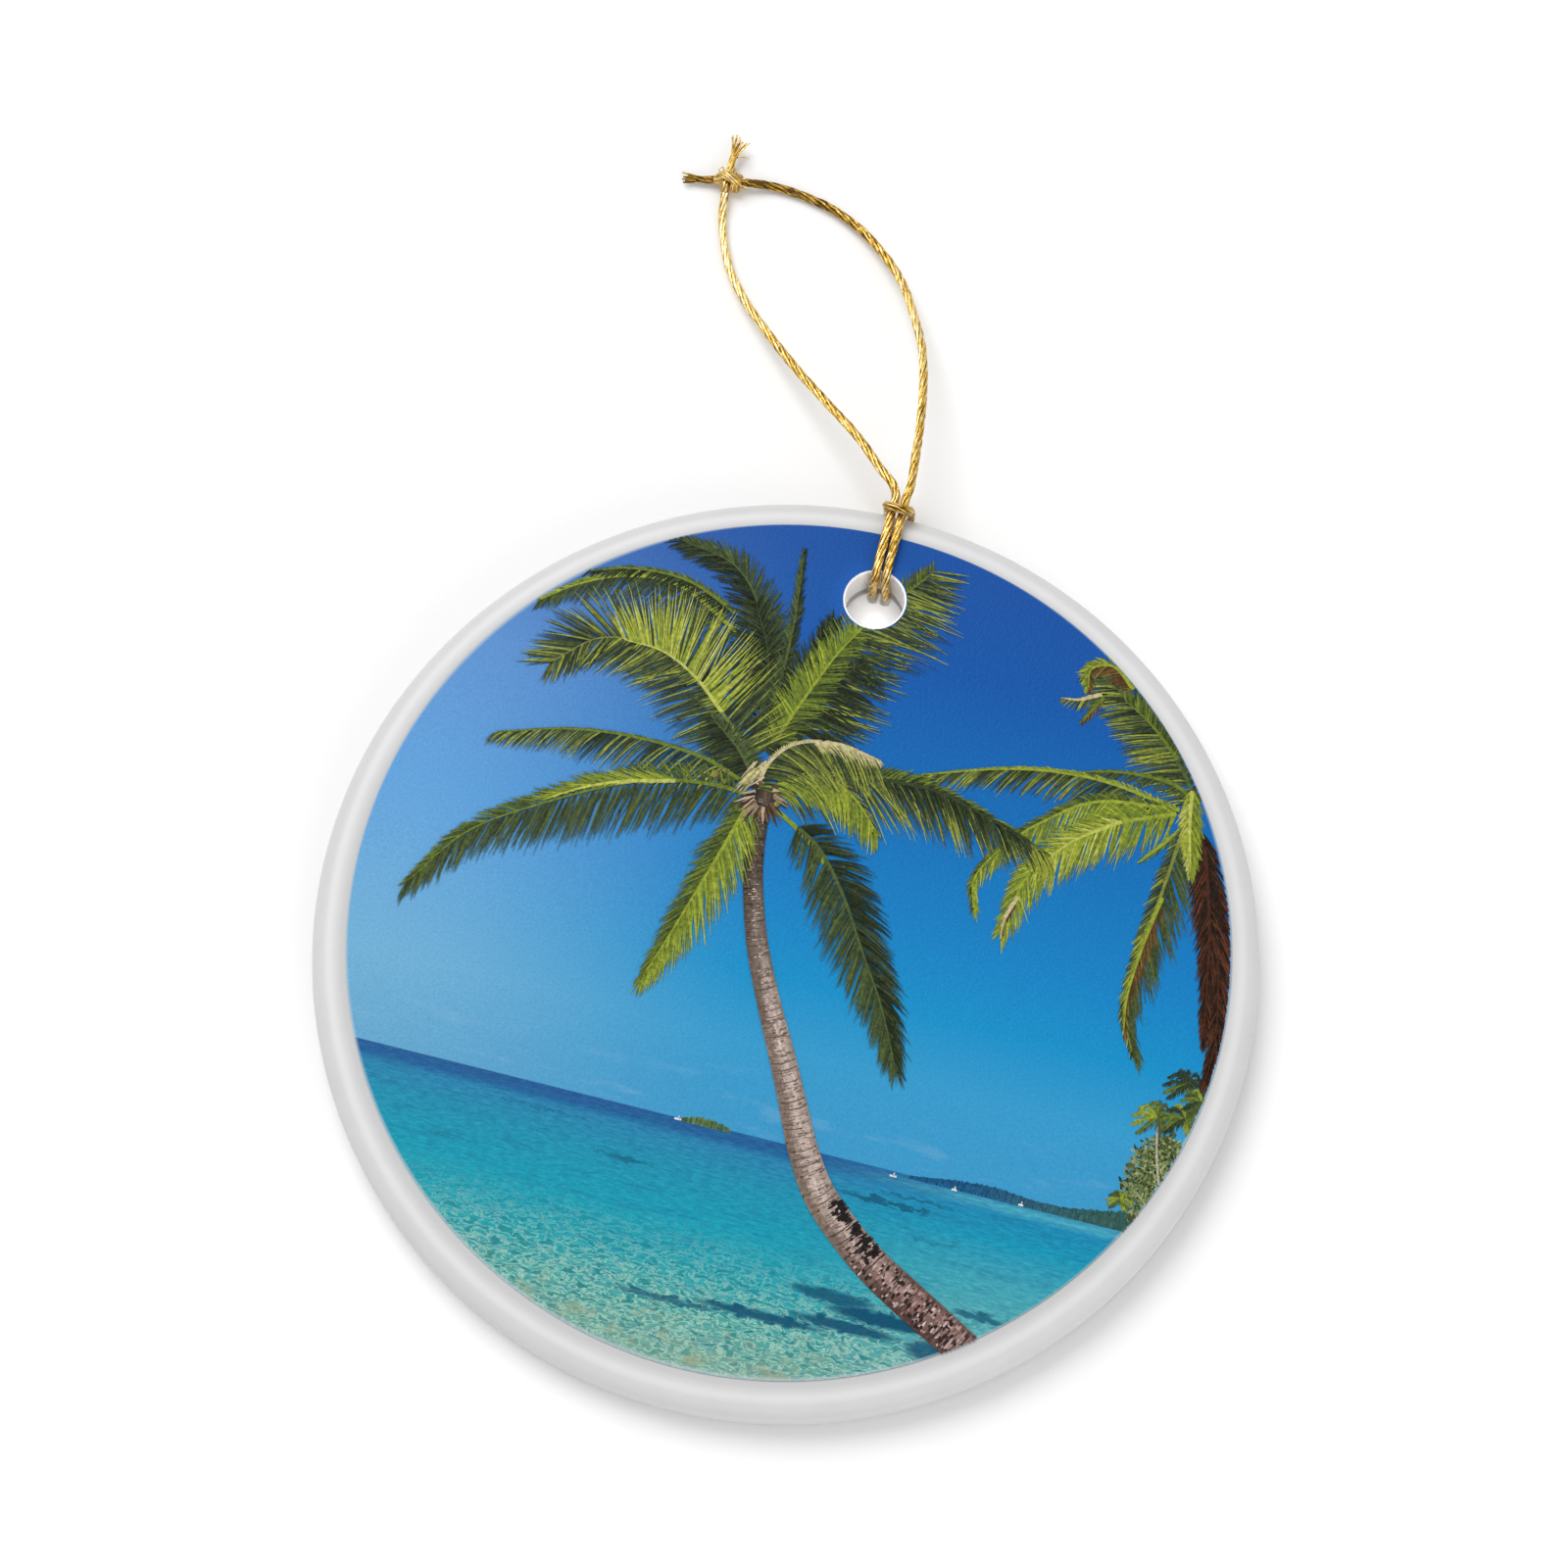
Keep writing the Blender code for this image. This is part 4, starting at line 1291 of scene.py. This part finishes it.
def paint_foot(ink, trunk, chance):
    """The dark growth where the foot starts, and the foot's rougher marks."""
    for index in range(120):
        share = chance.uniform(FOOT_AT - 0.02, FOOT_AT + 0.09)
        reach = 0.12 + 0.3 * (share - FOOT_AT + 0.02)
        across = max(0.46 - abs(chance.gauss(0, reach)) * 1.6, -0.4)
        length, thick = chance.uniform(0.10, 0.30), chance.uniform(0.12, 0.3)
        paint_mark(ink, trunk, share, across, length, thick, (0.014, 0.011, 0.011))
    for index in range(240):
        share = chance.uniform(FOOT_AT + 0.04, 0.99)
        tone = (0.028, 0.016, 0.015)
        if chance.random() < 0.5:
            tone = blended((0.56, 0.43, 0.41), (0.34, 0.19, 0.17), chance.random())
        across = chance.uniform(-0.44, 0.44)
        length, thick = chance.uniform(0.06, 0.2), chance.uniform(0.10, 0.28)
        paint_mark(ink, trunk, share, across, length, thick, tone, chance.uniform(-0.3, 0.3))


def paint_trunk(ink, chance):
    """The leaning trunk: a lit and a shaded side, mottled bark, rings, and a dark wet foot."""
    trunk = trunk_course()
    paint_bark(ink, trunk, chance)
    paint_mottling(ink, trunk, chance)
    paint_rings(ink, trunk, chance)
    paint_foot(ink, trunk, chance)


def paint_crown(ink, chance):
    """The fibre, stubs and nuts where the fronds leave the trunk."""
    for index in range(46):
        angle = math.radians(chance.uniform(20, 340) + 90)
        start = np.array([-4.3 + 0.7 * math.cos(angle), 10.4 + 0.9 * math.sin(angle)])
        lead = np.array([math.cos(angle) * 1.3, math.sin(angle) * 1.1 - 0.7]) * chance.uniform(0.5, 1.1)
        tone = tone_of((DARK_BROWN, FIBRE_BROWN, DRY_LEAF), chance.random() ** 1.4)
        ink.dab(straight(start, lead, 4), (0.26, 0.22, 0.14, 0.03), tone)
    for index in range(26):
        start = np.array([-4.6 - 1.1 * chance.random(), 13.2 - 1.6 * chance.random()])
        lead = np.array([-0.7 - 0.5 * chance.random(), -1.8 * chance.random() - 0.5])
        tone = tone_of((OLIVE, DRY_LEAF, PALE_LEAF), chance.random())
        ink.dab(straight(start, lead, 4), (0.12, 0.12, 0.08, 0.03), tone)
    for x, y, size in NUTS:
        across = np.linspace(-0.5, 0.5, 7)
        widths = size * np.sqrt(np.maximum(1 - (across * 2) ** 2, 0.02))
        line = np.column_stack([x + across * size, np.full(7, y)])
        ink.lay(line, widths, blended((0.30, 0.28, 0.05), (0.10, 0.10, 0.02), np.linspace(0, 1, 7)))


def make_plants(material):
    """Everything painted over the sky and the sea, from the farthest to the nearest."""
    chance = random.Random(11)
    ink = Ink()
    paint_hills(ink, chance)
    paint_stem(ink, [(30.2, -8.0), (29.8, -11.0), (29.9, -13.8)], 0.22, (0.30, 0.27, 0.20))
    paint_bush(ink, chance)
    paint_stem(ink, [(29.4, -6.2), (29.9, -9.0), (30.8, -12.0)], 0.16, (0.42, 0.38, 0.30))
    for x, y, size in SHORE_PALMS:
        paint_shore_palm(ink, x, y, size, chance)
    for frond in RIGHT_PALM + FAR_PALM + FRONDS_BEHIND_TRUNK:
        paint_frond(ink, frond, chance)
    paint_stem(ink, [(-3.2, 9.6), (-1.6, 8.7), (0.2, 7.4), (1.8, 6.0)], 0.34, LIT_GREEN)
    paint_stem(ink, [(-5.4, 10.2), (-7.6, 10.4), (-10.4, 10.1)], 0.3, FIBRE_BROWN)
    paint_trunk(ink, chance)
    for frond in FRONDS_BEFORE_TRUNK:
        paint_frond(ink, frond, chance)
    paint_crown(ink, chance)
    return ink.finish("painted_palms", material)


def print_gloss(nodes, place):
    """The printed face's satin gloss and its fine orange-peel grain."""
    nodes.set("Roughness", GLOSS_ROUGHNESS)
    nodes.set("Specular IOR Level", GLOSS_LEVEL)
    nodes.bump(nodes.noise(place, 4.4), 0.07 * MM, 0.6)


def painted_leaf():
    """The strokes' own colours, a little uneven."""
    nodes = Nodes("painted_leaf")
    place = nodes.place()[0]
    source = nodes.tree.nodes.new("ShaderNodeAttribute")
    source.attribute_name = "paint"
    shade = nodes.ramp(nodes.noise(place, 3.2, 3.0, 0.6), LEAF_SHADE)
    nodes.set("Base Color", nodes.tinted(source.outputs["Color"], shade))
    print_gloss(nodes, place)
    return nodes.material


def spot_share(nodes, x, y, centre, size):
    """1 in the middle of an oval patch, falling away to 0 at its edge."""
    dx = nodes.math("DIVIDE", nodes.minus(x, centre[0]), size[0])
    dy = nodes.math("DIVIDE", nodes.minus(y, centre[1]), size[1])
    far = nodes.plus(nodes.times(dx, dx), nodes.times(dy, dy))
    return nodes.step(far, 1.0, 0.25)


def sky_colour(nodes, place, x, y):
    """The sky: one fall of blue at each side, fine grain, and faint low clouds."""
    up = nodes.math("DIVIDE", nodes.minus(y, HORIZON), FILM_MM - HORIZON)
    sky = nodes.mix(nodes.step(x, 0.0, -32.0), nodes.ramp(up, RIGHT_SKY), nodes.ramp(up, LEFT_SKY))
    sky = nodes.tinted(sky, nodes.ramp(nodes.noise(place, 6.0, 2.0, 0.6), SKY_GRAIN))
    wisp = nodes.noise(nodes.stretched(x, y, 0.16, 0.75, 3.0), 1.0, 3.0, 0.55)
    low_sky = nodes.step(y, HORIZON + 6.0, HORIZON + 1.0)
    share = nodes.times(nodes.step(wisp, 0.53, 0.70), nodes.times(low_sky, 0.14))
    return nodes.mix(share, sky, CLOUD)


def near_water(nodes, sea, x, y, down, ripple):
    """What shows in the nearest water: bright ripples, dark hollows between them, and sand."""
    nearness = nodes.step(down, 0.35, 0.80)
    light = nodes.times(nodes.step(nodes.off_middle(ripple), 0.055, 0.0), nodes.times(nearness, 0.62))
    sea = nodes.mix(light, sea, BRIGHT_RIPPLE)
    hollow = nodes.times(nodes.step(ripple, 0.46, 0.38), nodes.times(nearness, 0.80))
    sea = nodes.mix(nodes.times(hollow, nodes.step(down, 1.05, 0.72)), sea, HOLLOW)
    bed = nodes.noise(nodes.vector(x, nodes.times(y, 1.6), 4.0), 0.55, 3.0, 0.6)
    sand = nodes.times(nodes.step(bed, 0.50, 0.66), nodes.times(nodes.step(down, 0.6, 1.0), 0.70))
    return nodes.mix(sand, sea, SAND)


def sea_colour(nodes, x, y):
    """The sea: open to the left and shallow to the right, with swell, chop, ripples and dark patches."""
    down = nodes.math("DIVIDE", nodes.minus(HORIZON, y), FILM_MM + HORIZON)
    sea = nodes.mix(nodes.step(x, 4.0, 22.0), nodes.ramp(down, OPEN_SEA), nodes.ramp(down, SHALLOW_SEA))
    swell = nodes.noise(nodes.stretched(x, y, 0.22, 1.3), 1.0, 3.0, 0.6)
    sea = nodes.mix(nodes.times(nodes.step(swell, 0.50, 0.70), 0.35), sea, SWELL)
    chop = nodes.noise(nodes.stretched(x, y, 1.3, 5.5), 1.0, 3.0, 0.65)
    sea = nodes.tinted(sea, nodes.ramp(chop, CHOP))
    wander = nodes.noise(nodes.stretched(x, y, 0.5, 1.2, 9.0), 1.0)
    bent_y = nodes.plus(nodes.times(y, 3.0), nodes.times(wander, 3.0))
    ripple = nodes.noise(nodes.vector(x, bent_y), 1.05, 3.0, 0.6)
    sea = near_water(nodes, sea, x, y, down, ripple)
    wavy_y = nodes.plus(y, nodes.times(nodes.minus(ripple, 0.5), 1.1))
    for centre, size, depth in DARK_WATER:
        share = nodes.times(spot_share(nodes, x, wavy_y, centre, size), depth)
        sea = nodes.mix(share, sea, DEEP_WATER)
    return sea


def printed_view():
    """The sky and the sea behind the palms, drawn by height and place on the film."""
    nodes = Nodes("printed_view")
    place, x, y, _ = nodes.place()
    above = nodes.step(y, HORIZON - 0.05, HORIZON + 0.05)
    view = nodes.mix(above, sea_colour(nodes, x, y), sky_colour(nodes, place, x, y))
    out = nodes.from_centre(x, y, (FILM_SHIFT[0] / MM, FILM_SHIFT[1] / MM))
    view = nodes.mix(nodes.times(nodes.step(out, FILM_MM - 0.22, FILM_MM), 0.55), view, FADED_EDGE)
    nodes.set("Base Color", nodes.tinted(view, (PRINT_DEPTH, PRINT_DEPTH, PRINT_DEPTH)))
    print_gloss(nodes, place)
    return nodes.material


def round_outline(centre, radius, steps, wobble=0.0):
    """A circle's points in the disc's plane, a little uneven where wobble is given."""
    angles = np.linspace(0, 2 * math.pi, steps, endpoint=False)
    reach = radius + wobble * (np.sin(3 * angles + 0.6) + 0.6 * np.sin(5 * angles + 2.1)) / 1.6
    return [(centre[0] + r * math.cos(a), centre[1] + r * math.sin(a)) for a, r in zip(angles, reach)]


def make_film(material):
    """The printed film, with its slightly uneven cut edge and the hole left out."""
    curve = bpy.data.curves.new("printed_film", "CURVE")
    curve.dimensions = "2D"
    curve.fill_mode = "BOTH"
    curve.extrude = FILM_THICKNESS / 2
    outlines = (
        round_outline(FILM_SHIFT, FILM_RADIUS, DISC_STEPS, 0.1 * MM),
        round_outline((0, BORE_OFFSET), FILM_HOLE, BORE_STEPS),
    )
    for outline in outlines:
        spline = curve.splines.new("POLY")
        spline.use_cyclic_u = True
        spline.points.add(len(outline) - 1)
        for point, (x, y) in zip(spline.points, outline):
            point.co = (x, y, 0, 1)
    guide = add_object("film_outline", curve)
    graph = bpy.context.evaluated_depsgraph_get()
    mesh = bpy.data.meshes.new_from_object(guide.evaluated_get(graph))
    bpy.data.objects.remove(guide)
    mesh.transform(ON_DISC @ Matrix.Translation((0, 0, FILM_TOP - FILM_THICKNESS / 2)))
    mesh.materials.clear()
    mesh.materials.append(material)
    return add_object("printed_film", mesh)


def make_floor():
    """A plain pale floor."""
    nodes = Nodes("pale_floor")
    nodes.set("Base Color", FLOOR_WHITE)
    nodes.set("Roughness", 1.0)
    nodes.set("Specular IOR Level", 0.0)
    mesh = bpy.data.meshes.new("floor")
    half = FLOOR_HALF_SIDE
    corners = [(-half, -half, 0), (half, -half, 0), (half, half, 0), (-half, half, 0)]
    mesh.from_pydata(corners, [], [(0, 1, 2, 3)])
    mesh.materials.append(nodes.material)
    add_object("floor", mesh)


def place_on(piece, body, slot, *nodes):
    """A rigid piece rides on its body and stands for its CAD nodes."""
    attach(piece, body)
    if nodes:
        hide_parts(*nodes)


def build():
    """Builds everything on the frame."""
    bpy.context.scene.view_settings.view_transform = "Standard"
    make_camera()
    make_lights()
    make_floor()
    gold = gold_thread()
    cord, route = make_cord(gold)
    knot = make_knot(gold)
    tail_up = make_tail("frayed_end_up", UP_TAIL, UP_TIP, UP_FAN, 80, UP_TAIL_TONE_AT, gold)
    tail_side = make_tail("frayed_end_side", SIDE_TAIL, SIDE_TIP, SIDE_FAN, 90, SIDE_TAIL_TONE_AT, gold)
    strays = make_strays(gold)
    place_on(knot, "loop", "gold_cord", "top_knot")
    place_on(tail_up, "loop", "gold_cord", "frayed_tail_up")
    place_on(tail_side, "loop", "gold_cord", "frayed_tail_side")
    place_on(strays, "loop", "gold_cord")
    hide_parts("hitch_cord", "loop_left_leg", "loop_right_leg")
    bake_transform(cord)
    place_on(make_disc(glaze()), "disc", "glazed_ceramic", "ceramic_disc")
    place_on(make_film(printed_view()), "disc", "picture_print", "picture_transfer")
    place_on(make_plants(painted_leaf()), "disc", "picture_print")


build()
